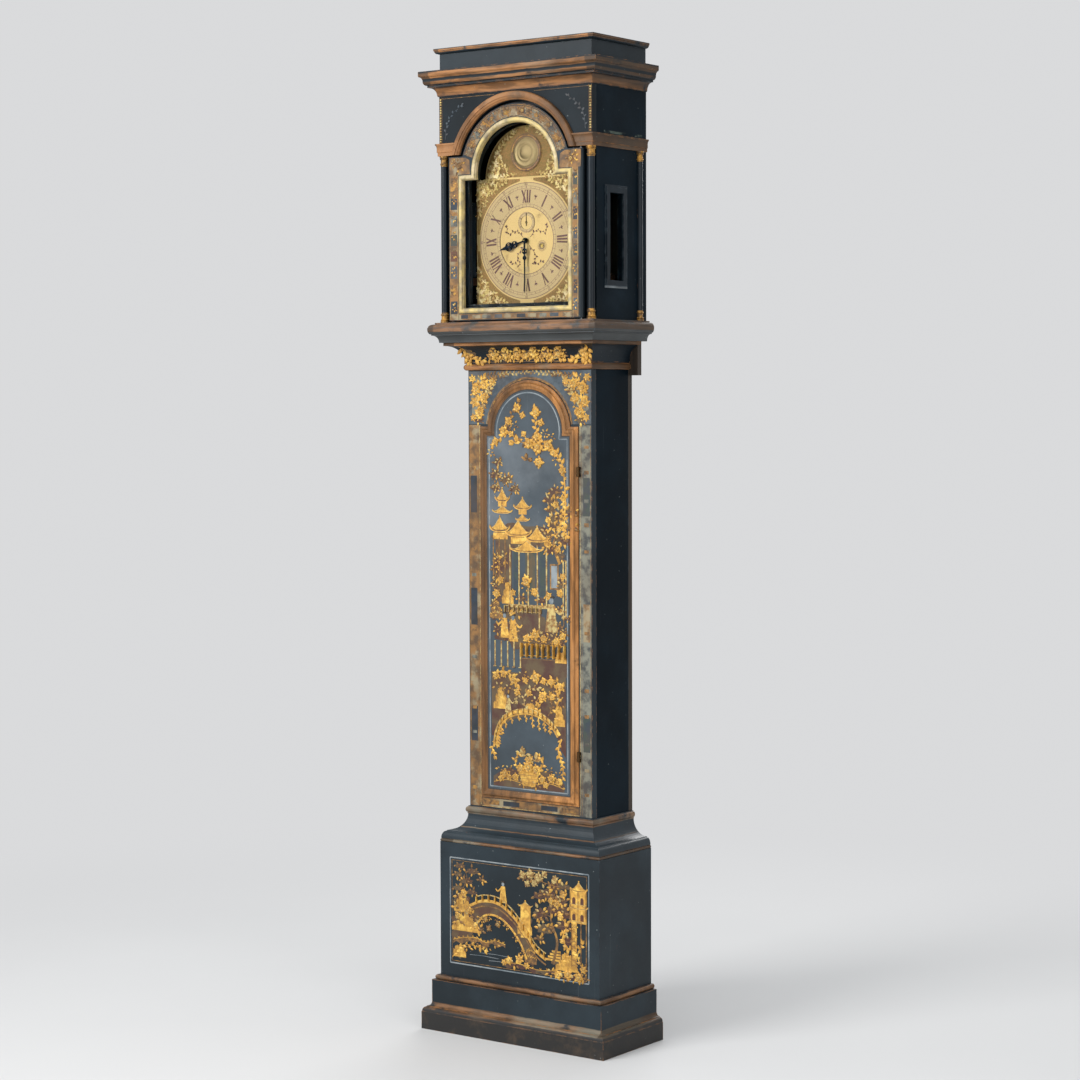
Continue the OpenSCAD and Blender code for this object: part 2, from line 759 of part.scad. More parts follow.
// Teeth: each train is [gear size, wheel teeth, pinion leaves]
centre_at = [0, 0];
great_at = [barrel_x, -14];
great_teeth = 96;
leaves = 8;
great_size = 2 * norm(great_at) / (great_teeth + leaves);
centre_teeth = 60;
centre_size = 0.8;
third_teeth = 56;
third_size = 0.72;
escape_leaves = 7;
escape_at = [0, 44];
third_from_centre = centres(centre_size, centre_teeth, leaves);
third_from_escape = centres(third_size, third_teeth, escape_leaves);
third_z = (pow(third_from_centre, 2) - pow(third_from_escape, 2) + pow(escape_at[1], 2))
    / (2 * escape_at[1]);
third_at = [sqrt(pow(third_from_centre, 2) - pow(third_z, 2)), third_z];
anchor_at = [0, 71];
minute_at = [0, -28];
minute_teeth = 40;
minute_size = 28 / minute_teeth;
hour_teeth = 72;
hour_leaves = 6;
hour_size = 2 * 28 / (hour_teeth + hour_leaves);
strike_at = [-barrel_x, -14];
strike_teeth = 84;
strike_size = 0.86;
pin_at = polar(strike_at, centres(strike_size, strike_teeth, leaves), 100);
pin_teeth = 64;
pin_size = 0.78;
gather_at = polar(pin_at, centres(pin_size, pin_teeth, leaves), 35);
gather_teeth = 70;
gather_size = 0.68;
warning_at = polar(gather_at, centres(gather_size, gather_teeth, 7), 120);
warning_teeth = 60;
warning_size = 0.6;
fly_at = polar(warning_at, centres(warning_size, warning_teeth, 7), 180);
hammer_at = [pin_at[0] - 33, pin_at[1]];
arbors = [centre_at, third_at, escape_at, pin_at, gather_at, warning_at, fly_at, hammer_at,
    anchor_at];
barrels = [great_at, strike_at];
pillar_places = [[82, -74], [82, 74], [-82, -74], [-22, 79]];
pillar_radius = 4;

module at(place) {
    translate([place[0], 0, z_dial + place[1]]) children();
}

// A flat shape between two depths behind the front plate
module layer(depth, thick) {
    front_solid(inner_face + depth + thick, thick) children();
}

module rod_between(depth0, depth1, radius) {
    bar(0, 0, radius, inner_face + depth0, inner_face + depth1);
}

// Outline of a toothed wheel with one tooth at the given angle
function toothed(teeth, size, turn, over, under, wide, top) = [
    for (i = [0 : teeth - 1])
        let (p = 360 / teeth, a = turn + i * p, r = teeth * size / 2)
        for (q = [[-wide - 0.02, r - under * size], [-wide, r], [-top, r + over * size],
                [top, r + over * size], [wide, r], [wide + 0.02, r - under * size]])
            q[1] * [cos(a + q[0] * p), sin(a + q[0] * p)]
];

module wheel(teeth, size, turn, depth, thick, bore = 0, arms = 4, band = 2.6) {
    rim = teeth * size / 2 - 1.2 * size - band;
    difference() {
        layer(depth, thick) polygon(toothed(teeth, size, turn, 0.9, 1.2, 0.2, 0.07));
        difference() {
            rod_between(depth - 1, depth + thick + 1, rim);
            rod_between(depth - 2, depth + thick + 2, 6);
            for (i = [0 : arms - 1])
                rotate([0, i * 360 / arms, 0])
                    block([0, inner_face + depth - 2, -1.5],
                        [rim + 1, inner_face + depth + thick + 2, 1.5]);
        }
        if (bore > 0)
            rod_between(depth - 1, depth + thick + 1, bore);
    }
}

module pinion(leaf_count, size, turn, depth, long) {
    layer(depth, long)
        polygon(toothed(leaf_count, size, turn, 0.35, 1.45, 0.15, 0.08));
}

// Arbor between the plates with its two pivots
module pivoted(radius = arbor) {
    rod_between(0.3, plates_gap - 0.3, radius);
    rod_between(-plate_thickness, plates_gap + plate_thickness, tip);
}

module plate(back) {
    difference() {
        front_solid(back, plate_thickness)
            translate([-plate_half_width, z_seat_top])
                square([2 * plate_half_width, 2 * plate_half_height]);
        for (place = arbors)
            at(place) bar(0, 0, tip + pivot_gap, back - plate_thickness - 1, back + 1);
        for (place = pillar_places)
            at(place) bar(0, 0, 2, back - plate_thickness - 1, back + 1);
        for (place = barrels)
            at(place) bar(0, 0, 3 + pivot_gap, back - plate_thickness - 1, back + 1);
        children();
    }
}

// Plates, pillars, the cock that carries the pendulum, and its chops
pendulum_y = back_plate_back + 22;
cock_back = back_plate_back + 19;
module movement_frame() color(brass) stand() {
    plate(inner_face) at(minute_at) bar(0, 0, 1 + pivot_gap, plates_front - 1, inner_face + 1);
    plate(back_plate_back);
    for (place = pillar_places)
        at(place) {
            rod_between(0, plates_gap, pillar_radius);
            rod_between(-plate_thickness, plates_gap + plate_thickness, 2);
        }
    at([0, 0]) {
        pair([18, back_plate_back, 60], [26, cock_back - 4, 84]);
        difference() {
            block([-26, cock_back - 4, 60], [26, cock_back, 84]);
            bar(anchor_at[0], anchor_at[1], tip + pivot_gap, cock_back - 5, cock_back + 1);
        }
        block([-6, cock_back, anchor_at[1] + 0.3], [6, pendulum_y + 3.5, 84]);
    }
}

// Dial: plate, rings and the cast mounts in the corners and the arch
dial_arch = dial_half - 27.5;
chapter_outer = dial_half - chapter_margin;
chapter_inner = chapter_outer - chapter_band;
seconds_at = escape_at;
winding = [[barrel_x, -14], [-barrel_x, -14]];
module dial_plate() color(brass) stand() {
    difference() {
        front_solid(dial_back, dial_thickness)
            arched(dial_half, z_dial - dial_half, dial_arch_z, dial_arch, dial_arch_z);
        at([0, 0]) bar(0, 0, 4.4, dial_back - 9, dial_back + 1);
        at(seconds_at) bar(0, 0, 1.8, dial_back - 9, dial_back + 1);
        for (place = winding)
            at(place) bar(0, 0, 5.5, dial_back - 9, dial_back + 1);
        at([0, -69]) block([-8, dial_back - 9, -6], [8, dial_back + 1, 6]);
    }
    // Feet that join the dial to the front plate
    for (x = [-78, 78], z = [-68, 68])
        at([x, z]) bar(0, 0, 3, dial_back, plates_front);
}

dial_front = dial_back - dial_thickness;
module ring(outer, inner, front, thick) {
    difference() {
        bar(0, 0, outer, front - thick, front, $fn = 128);
        bar(0, 0, inner, front - thick - 1, front + 1, $fn = 128);
    }
}

module dial_rings() color("#cfc9a8") stand() {
    at([0, 0]) ring(chapter_outer, chapter_inner, dial_front, 1.2);
    at(seconds_at) ring(seconds_outer / 2, seconds_outer / 2 - 8, dial_front, 1.2);
    for (place = winding)
        at(place) ring(9, 5.5, dial_front, 1.2);
    // Date disc behind its square window
    at([0, -69]) bar(0, 0, 13, dial_back, dial_back + 1);
}

// Cast mounts: a round boss in the arch, leafy corner pieces
module leaf_mount(size) {
    front_solid(dial_front, 2.2)
        difference() {
            union() {
                for (i = [0 : 4])
                    rotate(18 + i * 13.5) translate([size * (0.78 - 0.1 * abs(i - 2)), 0])
                        circle(r = size * 0.11, $fn = 24);
                for (i = [0 : 3])
                    rotate(24 + i * 14) translate([size * 0.45, 0])
                        circle(r = size * 0.13, $fn = 24);
                translate([size * 0.16, size * 0.16]) circle(r = size * 0.2, $fn = 24);
            }
            for (i = [0 : 2])
                rotate(31 + i * 14) translate([size * 0.45, 0])
                    circle(r = size * 0.05, $fn = 24);
        }
}

module dial_mounts() color(gilt) stand() {
    corner = dial_half - 4;
    for (side = [-1, 1], low = [-1, 1])
        translate([side * corner, 0, z_dial + low * corner])
            rotate([0, low < 0 ? (side < 0 ? 0 : -90) : (side < 0 ? 90 : 180), 0])
                leaf_mount(52);
    translate([0, 0, z_dial + 212]) {
        ring(45, 39, dial_front, 3);
        bar(0, 0, 39, dial_front - 1.6, dial_front);
    }
    for (side = [-1, 1])
        translate([side * 118, 0, dial_arch_z + 8])
            rotate([0, side < 0 ? 20 : -110, 0]) leaf_mount(50);
}

// Bell on its standard above the movement
bell_x = -34;
bell_y = line_y - 4;
bell_z = z_dial + 100;
bell_height = bell_diameter * 0.42;
function bell_curve(radius, height) = [
    for (i = [0 : 12]) let (a = 7.5 * i)
        [radius * (0.18 + 0.82 * pow(cos(a), 0.7)) - radius * 0.18 * (i / 12), height * sin(a)]
];
module bell() color("#b08d4f") stand() {
    radius = bell_diameter / 2;
    inner = bell_curve(radius - 2.5, bell_height - 2.5);
    top = bell_z + bell_height;
    translate([bell_x, bell_y, bell_z]) rotate_extrude()
        polygon(concat([for (p = bell_curve(radius, bell_height)) if (p[0] > 3) p],
            [[3, bell_height], [3, bell_height - 2.5]],
            [for (i = [12 : -1 : 0]) if (inner[i][0] > 3) inner[i]]));
    translate([bell_x, bell_y, top - 6]) cylinder(r = 3, h = 16);
    translate([bell_x, bell_y, top]) cylinder(r = 6, h = 3);
    block([bell_x - 3, bell_y - 4, top + 5], [bell_x + 3, back_plate_back + 4, top + 9]);
    block([bell_x - 6, back_plate_back, z_dial + 50],
        [bell_x + 0, back_plate_back + 4, top + 5 + tiny]);
}

// Going train
third_turn = angle_to(third_at, escape_at);
great_turn = angle_to(great_at, centre_at);
centre_turn = angle_to(centre_at, third_at);
module great_wheel() color(brass) stand() at(great_at)
    wheel(great_teeth, great_size, great_turn, 4, 3, 3 + pivot_gap);

cannon_front = dial_back - 11;
module centre_wheel() color(brass) stand() at(centre_at) {
    pivoted();
    pinion(leaves, great_size, great_turn + 180 + 180 / leaves, 2, 7);
    wheel(centre_teeth, centre_size, centre_turn, 53, 2);
    bar(0, 0, 2.4, cannon_front, plates_front - 0.3);
    bar(0, 0, tip, cannon_front - 4, plates_front);
    translate([0, plates_front - 7 - inner_face, 0])
        wheel(minute_teeth, minute_size, -90, 0, 2);
}

module third_wheel() color(brass) stand() at(third_at) {
    pivoted();
    pinion(leaves, centre_size, centre_turn + 180 + 180 / leaves, 51, 6);
    wheel(third_teeth, third_size, third_turn, 14, 2);
}

module escape_wheel() color(brass) stand() at(escape_at) {
    pivoted(1.5);
    pinion(escape_leaves, third_size, third_turn + 180 + 180 / escape_leaves, 12, 6);
    bar(0, 0, tip, dial_front - 2.4, plates_front);
    difference() {
        layer(44, 1.5)
            polygon([for (i = [0 : 29], q = [[0, 15.6], [1.2, 19], [1.9, 19], [5, 15.6]])
                q[1] * [cos(12 * i + q[0]), sin(12 * i + q[0])]]);
        difference() {
            rod_between(43, 46, 13);
            rod_between(42, 47, 5);
            for (i = [0 : 4])
                rotate([0, i * 72, 0])
                    block([0, inner_face + 42, -1.2], [14, inner_face + 47, 1.2]);
        }
    }
}

// Motion work between the front plate and the dial
module minute_wheel() color(brass) stand() at(minute_at) {
    bar(0, 0, 1, plates_front - 17, inner_face);
    translate([0, plates_front - 7 - inner_face, 0])
        wheel(minute_teeth, minute_size, 90 + 180 / minute_teeth, 0, 2);
    translate([0, plates_front - 16 - inner_face, 0])
        pinion(hour_leaves, hour_size, 90, 0, 6);
}

hour_front = dial_back - 7;
module hour_wheel() color(brass) stand() at(centre_at) {
    difference() {
        union() {
            translate([0, plates_front - 14 - inner_face, 0])
                wheel(hour_teeth, hour_size, -90 + 180 / hour_teeth, 0, 2);
            bar(0, 0, 4, hour_front, plates_front - 12);
        }
        bar(0, 0, 2.4 + pivot_gap, hour_front - 1, plates_front - 5);
    }
}

// Hands, as flat shapes pointing up, turned to the time they show
hour_angle = 255;
minute_angle = 180;
module blade(points, y, thick, angle, bore) {
    difference() {
        rotate([0, angle, 0]) front_solid(y, thick) children();
        bar(0, 0, bore, y - thick - 1, y + 1);
    }
}

module hour_hand() color("#22262b") stand() at(centre_at)
    blade(0, hour_front, 1.2, hour_angle, 2.4 + pivot_gap)
        difference() {
            union() {
                circle(r = 7, $fn = 32);
                translate([-2, 0]) square([4, 74]);
                translate([0, 34]) circle(r = 9, $fn = 32);
                translate([0, 52]) circle(r = 11, $fn = 32);
                polygon([[-5, 61], [5, 61], [0, 82]]);
            }
            for (side = [-1, 1]) {
                translate([side * 4.6, 34]) circle(r = 2.8, $fn = 20);
                translate([side * 5.6, 52]) circle(r = 3.6, $fn = 20);
            }
        }

module minute_hand() color("#22262b") stand() at(centre_at)
    blade(0, cannon_front, 1.2, minute_angle, tip)
        difference() {
            union() {
                circle(r = 6, $fn = 32);
                polygon([[-2.4, 0], [2.4, 0], [1.2, 120], [0, 126], [-1.2, 120]]);
                translate([0, 26]) circle(r = 7.5, $fn = 32);
                translate([0, 42]) circle(r = 5.5, $fn = 32);
            }
            for (side = [-1, 1])
                translate([side * 4.2, 26]) circle(r = 2, $fn = 20);
        }

module seconds_hand() color("#22262b") stand() at(escape_at)
    blade(0, dial_front - 1.6, 0.8, 0, tip)
        union() {
            circle(r = 3, $fn = 24);
            polygon([[-0.9, -9], [0.9, -9], [0.5, 22], [-0.5, 22]]);
        }

// Barrels with their winding squares; the line lies on them in turns
module barrel() {
    difference() {
        union() {
            rod_between(9, 11, barrel_radius + 3);
            rod_between(10, 49, barrel_radius - 0.1);
            rod_between(48, 50, barrel_radius + 3);
        }
        for (side = [0 : 2])
            at_turn(side * 120) bar(14, 0, 3, inner_face + 8, inner_face + 51);
    }
    rod_between(0.3, plates_gap - 0.3, 3);
    bar(0, 0, 3, dial_front - 1, back_plate_back);
}

module at_turn(angle) {
    rotate([0, angle, 0]) children();
}

module going_barrel() color(brass) stand() at(great_at) barrel();
module strike_barrel() color(brass) stand() at(strike_at) barrel();

// Striking train
pin_turn = angle_to(pin_at, gather_at);
strike_turn = angle_to(strike_at, pin_at);
gather_turn = angle_to(gather_at, warning_at);
warning_turn = angle_to(warning_at, fly_at);

module strike_wheel() color(brass) stand() at(strike_at)
    wheel(strike_teeth, strike_size, strike_turn, 4, 3, 3 + pivot_gap);

module pin_wheel() color(brass) stand() at(pin_at) {
    pivoted();
    pinion(leaves, strike_size, strike_turn + 180 + 180 / leaves, 2, 7);
    wheel(pin_teeth, pin_size, pin_turn, 51.5, 2, band = 5.8);
    for (i = [0 : 7])
        at_turn(i * 45 + 22.5) bar(20, 0, 1, inner_face + 52, inner_face + 58);
}

module gather_wheel() color(brass) stand() at(gather_at) {
    pivoted();
    pinion(leaves, pin_size, pin_turn + 180 + 180 / leaves, 49.5, 6);
    wheel(gather_teeth, gather_size, gather_turn, 20, 2);
}

module warning_wheel() color(brass) stand() at(warning_at) {
    pivoted(1.4);
    pinion(7, gather_size, gather_turn + 180 + 180 / 7, 18, 6);
    wheel(warning_teeth, warning_size, warning_turn, 30, 2);
}

module fly() color(brass) stand() at(fly_at) {
    pivoted(1.3);
    pinion(7, warning_size, warning_turn + 180 + 180 / 7, 27, 8);
    block([-16, inner_face + 37, -0.6], [16, inner_face + 49, 0.6]);
}

module hammer() color(steel) stand() at(hammer_at) {
    pivoted();
    translate([0, bell_y, 0]) rotate([0, -3, 0]) cylinder(r = 1.8, h = 84);
    bar(0, 0, 4, bell_y - 4, bell_y + 4);
    translate([bell_x - bell_diameter / 2 - 2 - hammer_at[0] - 12, bell_y, 84])
        rotate([0, 90, 0]) cylinder(r = 5, h = 12);
    block([0, inner_face + 55, -1], [33 - 21.3, inner_face + 58, 1]);
}

// Anchor with its arbor and the crutch that holds the pendulum rod
module anchor() color(steel) stand() at(anchor_at) {
    rod_between(0.3, plates_gap - 0.3, arbor);
    rod_between(-plate_thickness, plates_gap + plate_thickness + 0.5, tip);
    bar(0, 0, tip, back_plate_back, cock_back);
    layer(44, 1.5)
        for (side = [-1, 1])
            polygon([for (p = [[0, 3.5], [11, -2], [17.2, -9.5], [15.2, -13.2],
                [13.6, -11.5], [10, -6.5], [0, -3.5]]) [side * p[0], p[1]]]);
    bar(0, 0, 4, back_plate_back + 4, back_plate_back + 8);
    block([-2.5, back_plate_back + 5, -82], [2.5, back_plate_back + 7, 0]);
    difference() {
        block([-7, back_plate_back + 5, -84], [7, pendulum_y + 5, -80]);
        block([-2.25 - slide_gap, pendulum_y - 2.25 - slide_gap, -85],
            [2.25 + slide_gap, pendulum_y + 6, -79]);
    }
}

// Pendulum
suspension_z = z_dial + anchor_at[1];
bob_z = suspension_z - pendulum_length;
rod_radius = 2.25;
module pendulum_rod() color(steel) stand() {
    block([-4, pendulum_y - 0.25, suspension_z - 25], [4, pendulum_y + 0.25, suspension_z]);
    block([-6, pendulum_y - 3, suspension_z - 36], [6, pendulum_y + 3, suspension_z - 24]);
    translate([0, pendulum_y, bob_z - bob_diameter / 2 - 26])
        cylinder(r = rod_radius, h = suspension_z - 30 - bob_z + bob_diameter / 2 + 26);
}

module pendulum_bob() color(brass) stand() {
    radius = bob_diameter / 2;
    half = bob_thickness / 2;
    // Each face is part of a sphere; the rim between them is 3 mm wide
    lens = (pow(radius, 2) + pow(half - 1.5, 2)) / (half - 1.5) / 2;
    difference() {
        intersection() {
            for (side = [-1, 1])
                translate([0, pendulum_y + side * (lens - half), bob_z])
                    sphere(r = lens, $fn = 180);
            translate([0, 0, bob_z])
                bar(0, 0, radius, pendulum_y - half, pendulum_y + half, $fn = 128);
        }
        translate([0, pendulum_y, bob_z - radius - 1]) cylinder(r = rod_radius,
            h = bob_diameter + 2);
    }
}

module rating_nut() color(brass) stand() {
    low = bob_z - bob_diameter / 2 - 8;
    difference() {
        translate([0, pendulum_y, low]) cylinder(r = 8, h = 7.7);
        translate([0, pendulum_y, low - 1]) cylinder(r = rod_radius + pivot_gap, h = 10);
        for (i = [0 : 11])
            translate([0, pendulum_y, low - 1]) rotate([0, 0, i * 30]) translate([8.2, 0, 0])
                cylinder(r = 0.9, h = 10, $fn = 16);
    }
}

// Weights: each hangs at its lowest place from a pulley on a doubled line
weight_rest_z = z_base + weight_rest;
pulley_z = weight_rest_z + weight_height + 35;
pulley_half = 3.5;
module weight(x) {
    radius = weight_diameter / 2;
    translate([x, line_y, pulley_z - 35 - weight_height]) rotate_extrude()
        polygon(concat([[0, 0], [radius - 3, 0], [radius - 1, 1], [radius, 3],
            [radius, weight_height - 6]],
            [for (i = [0 : 6]) let (a = 15 * i)
                [radius - 8 + 8 * cos(a), weight_height - 6 + 6 * sin(a)]],
            [[5, weight_height], [5, weight_height + 4], [0, weight_height + 4]]));
    translate([x, line_y, pulley_z - 35]) {
        translate([-5, -6.5, 4]) cube([10, 13, 3]);
        for (side = [-1, 1])
            translate([-5, side * 5.5 - 1, 4]) cube([10, 2, 38]);
    }
    translate([x, 0, pulley_z]) bar(0, 0, 2, line_y - 6.5, line_y + 6.5);
}

module going_weight() color(brass) stand() weight(pulley_x[0]);
module strike_weight() color(brass) stand() weight(pulley_x[1]);

module pulley(x) {
    translate([x, line_y, pulley_z]) rotate([90, 0, 0]) rotate_extrude($fn = 96)
        polygon(concat([[2 + pivot_gap, -pulley_half], [pulley_radius + 2, -pulley_half]],
            [for (i = [0 : 8]) let (a = 22.5 * i)
                [pulley_radius + 2 - 2.1 * sin(a), -2.1 * cos(a)]],
            [[pulley_radius + 2, pulley_half], [2 + pivot_gap, pulley_half]]));
}

module going_pulley() color(brass) stand() pulley(pulley_x[0]);
module strike_pulley() color(brass) stand() pulley(pulley_x[1]);

// The moving runs of each line, from the pulley up to the seatboard
module runs(i) {
    for (x = [lead_x[i], return_x[i]])
        translate([x, line_y, pulley_z])
            cylinder(r = line_radius, h = z_seat - pulley_z, $fn = 16);
}

module going_line() color("#b5a27a") stand() runs(0);
module strike_line() color("#b5a27a") stand() runs(1);

// The runs above: up to the barrel, and up to a knot on the seatboard
module line_leads() color("#b5a27a") stand() {
    for (i = [0, 1]) {
        translate([lead_x[i], line_y, z_seat])
            cylinder(r = line_radius, h = z_dial - 14 - z_seat, $fn = 16);
        translate([return_x[i], line_y, z_seat])
            cylinder(r = line_radius, h = seatboard_thickness + 2, $fn = 16);
        translate([return_x[i], line_y, z_seat_top]) cylinder(r1 = 3, r2 = 1.5, h = 4);
    }
}

backboard();
trunk_sides();
trunk_front();
throat_moulding();
waist_moulding();
base_box();
plinth();
seatboard();
trunk_hinge_leaves();
hood_sides();
hood_front();
hood_foot_moulding();
hood_arch_moulding();
hood_cornice();
hood_caddy();
hood_columns();
column_caps();
window_frames();
window_glass();
dial_mask();
hood_door();
hood_door_bead();
hood_door_glass();
hood_door_pins();
trunk_door();
trunk_door_lip();
trunk_door_hinges();
movement_frame();
dial_plate();
dial_rings();
dial_mounts();
bell();
line_leads();
pendulum_rod();
pendulum_bob();
rating_nut();
anchor();
great_wheel();
centre_wheel();
minute_hand();
third_wheel();
escape_wheel();
seconds_hand();
hour_wheel();
hour_hand();
minute_wheel();
going_barrel();
strike_barrel();
strike_wheel();
pin_wheel();
gather_wheel();
warning_wheel();
fly();
hammer();
going_weight();
strike_weight();
going_pulley();
strike_pulley();
going_line();
strike_line();
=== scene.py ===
"""Looks of the japanned longcase clock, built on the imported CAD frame.

The script dresses the fixed CAD nodes with procedural materials and adds the
raised gilt ornament, the painted borders, the dial's engraving and the lines of
the weights. Every size comes from the frame, in metres.
"""

import json
import logging
import random
from dataclasses import dataclass, field
from enum import Enum
from functools import cache
from itertools import product
from math import asin, atan2, cos, dist, pi, radians, sin, sqrt
from typing import Callable, Iterable, Sequence

import bmesh
import bpy
from bmesh.types import BMesh, BMVert
from bpy.types import Material, Mesh, Node, NodeTree, Object
from mathutils import Matrix, Vector


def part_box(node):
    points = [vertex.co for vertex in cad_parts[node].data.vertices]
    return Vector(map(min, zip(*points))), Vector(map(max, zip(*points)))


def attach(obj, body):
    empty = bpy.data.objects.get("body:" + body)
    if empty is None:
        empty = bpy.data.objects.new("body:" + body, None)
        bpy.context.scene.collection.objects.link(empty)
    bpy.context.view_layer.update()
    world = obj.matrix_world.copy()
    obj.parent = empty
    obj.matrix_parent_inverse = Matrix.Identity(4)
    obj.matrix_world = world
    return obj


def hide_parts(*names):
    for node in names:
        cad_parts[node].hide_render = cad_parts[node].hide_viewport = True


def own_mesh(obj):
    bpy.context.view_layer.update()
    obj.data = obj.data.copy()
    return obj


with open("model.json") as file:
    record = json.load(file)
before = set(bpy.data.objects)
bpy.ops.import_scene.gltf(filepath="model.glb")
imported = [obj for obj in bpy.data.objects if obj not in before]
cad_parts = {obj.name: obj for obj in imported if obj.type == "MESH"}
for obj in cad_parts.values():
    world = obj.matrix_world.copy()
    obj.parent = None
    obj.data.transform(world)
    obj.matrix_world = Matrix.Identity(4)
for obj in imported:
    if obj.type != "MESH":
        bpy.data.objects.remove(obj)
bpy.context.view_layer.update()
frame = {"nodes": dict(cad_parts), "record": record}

MM = 0.001
LOG = logging.getLogger("clock")
Colour = tuple[float, float, float]
Point = tuple[float, float]
Point3 = tuple[float, float, float]
Place = tuple[float, ...]
Socket = bpy.types.NodeSocket


class Tone(Enum):
    """Colours of the clock's finishes, as hexadecimal display colours."""

    DEEP = "08151d"
    BLACK_BLUE = "0f1a21"
    SOOT = "141c21"
    FRONT = "1f292f"
    GRIME = "2b2a29"
    FOOT = "3a3d3d"
    MATT = "75602f"
    FIELD = "39434a"
    SLATE = "2a363f"
    GREY_BLUE = "4a555c"
    GOLD = "d6a347"
    OLD_GOLD = "b08238"
    PALE_GOLD = "c9b373"
    BROWN_GOLD = "8d6637"
    COPPER = "9a6a3f"
    EARTH = "4a2a1c"
    RED_BROWN = "5f3423"
    OAK = "6b4a2c"
    DARK_OAK = "372d23"
    BRASS = "b89c56"
    SILVERED = "a68f68"
    LIGHT_GOLD = "ecc05a"
    DIAL_GOLD = "b79b66"
    OLIVE = "5c4c34"
    BARK = "33291f"
    TAN = "94876a"
    CREAM = "d9c79c"
    RUSSET = "7c5a3e"
    RUST = "48291f"
    DUST = "4a3e33"
    BOSS = "917d58"
    MOSS = "66756c"
    MIST = "5f6b72"
    INK = "1d1a15"
    STEEL = "8a8f94"
    BLUED = "1a2028"
    GUT = "a8905e"
    CHALK = "b9c2c0"
    PEARL = "8b9295"
    UMBER = "55402a"
    ASH_GOLD = "7c7c6e"
    AMBER = "b17a44"
    VEIL = "8b9196"
    NIGHT = "1c2a38"
    SAGE = "34423c"
    WAX = "55333a"

    @property
    def rgb(self) -> Colour:
        """The colour as the shader takes it."""
        return self.by(1.0)

    def by(self, share: float, lift: float = 0.0) -> Colour:
        """The colour made darker or lighter by a share and a lift.

        Args:
            share: What it is multiplied by.
            lift: What is then added.
        Returns:
            The linear colour.
        """
        parts = [int(self.value[i:i + 2], 16) / 255 for i in (0, 2, 4)]
        return tuple((c / 12.92 if c <= 0.04045 else ((c + 0.055) / 1.055) ** 2.4)
                     * share + lift for c in parts)


def plug(tree: NodeTree, socket: Socket, value: object) -> None:
    """Gives an input a socket, a tone, a colour or a plain value.

    Args:
        tree: The input's tree.
        socket: The input.
        value: What it is given.
    """
    if isinstance(value, Socket):
        tree.links.new(value, socket)
    else:
        value = value.rgb if isinstance(value, Tone) else value
        socket.default_value = (*value, 1.0) if socket.type == "RGBA" else value


def add_node(tree: NodeTree, kind: str, inputs: dict[int | str, object] | None = None,
             **settings: object) -> Node:
    """Adds a node to a tree.

    Args:
        tree: The tree.
        kind: The node's type.
        inputs: What each input is given.
        settings: Its other settings.
    Returns:
        The node.
    """
    node = tree.nodes.new(kind)
    for name, value in settings.items():
        setattr(node, name, value)
    for slot, value in (inputs or {}).items():
        plug(tree, node.inputs[slot], value)
    return node


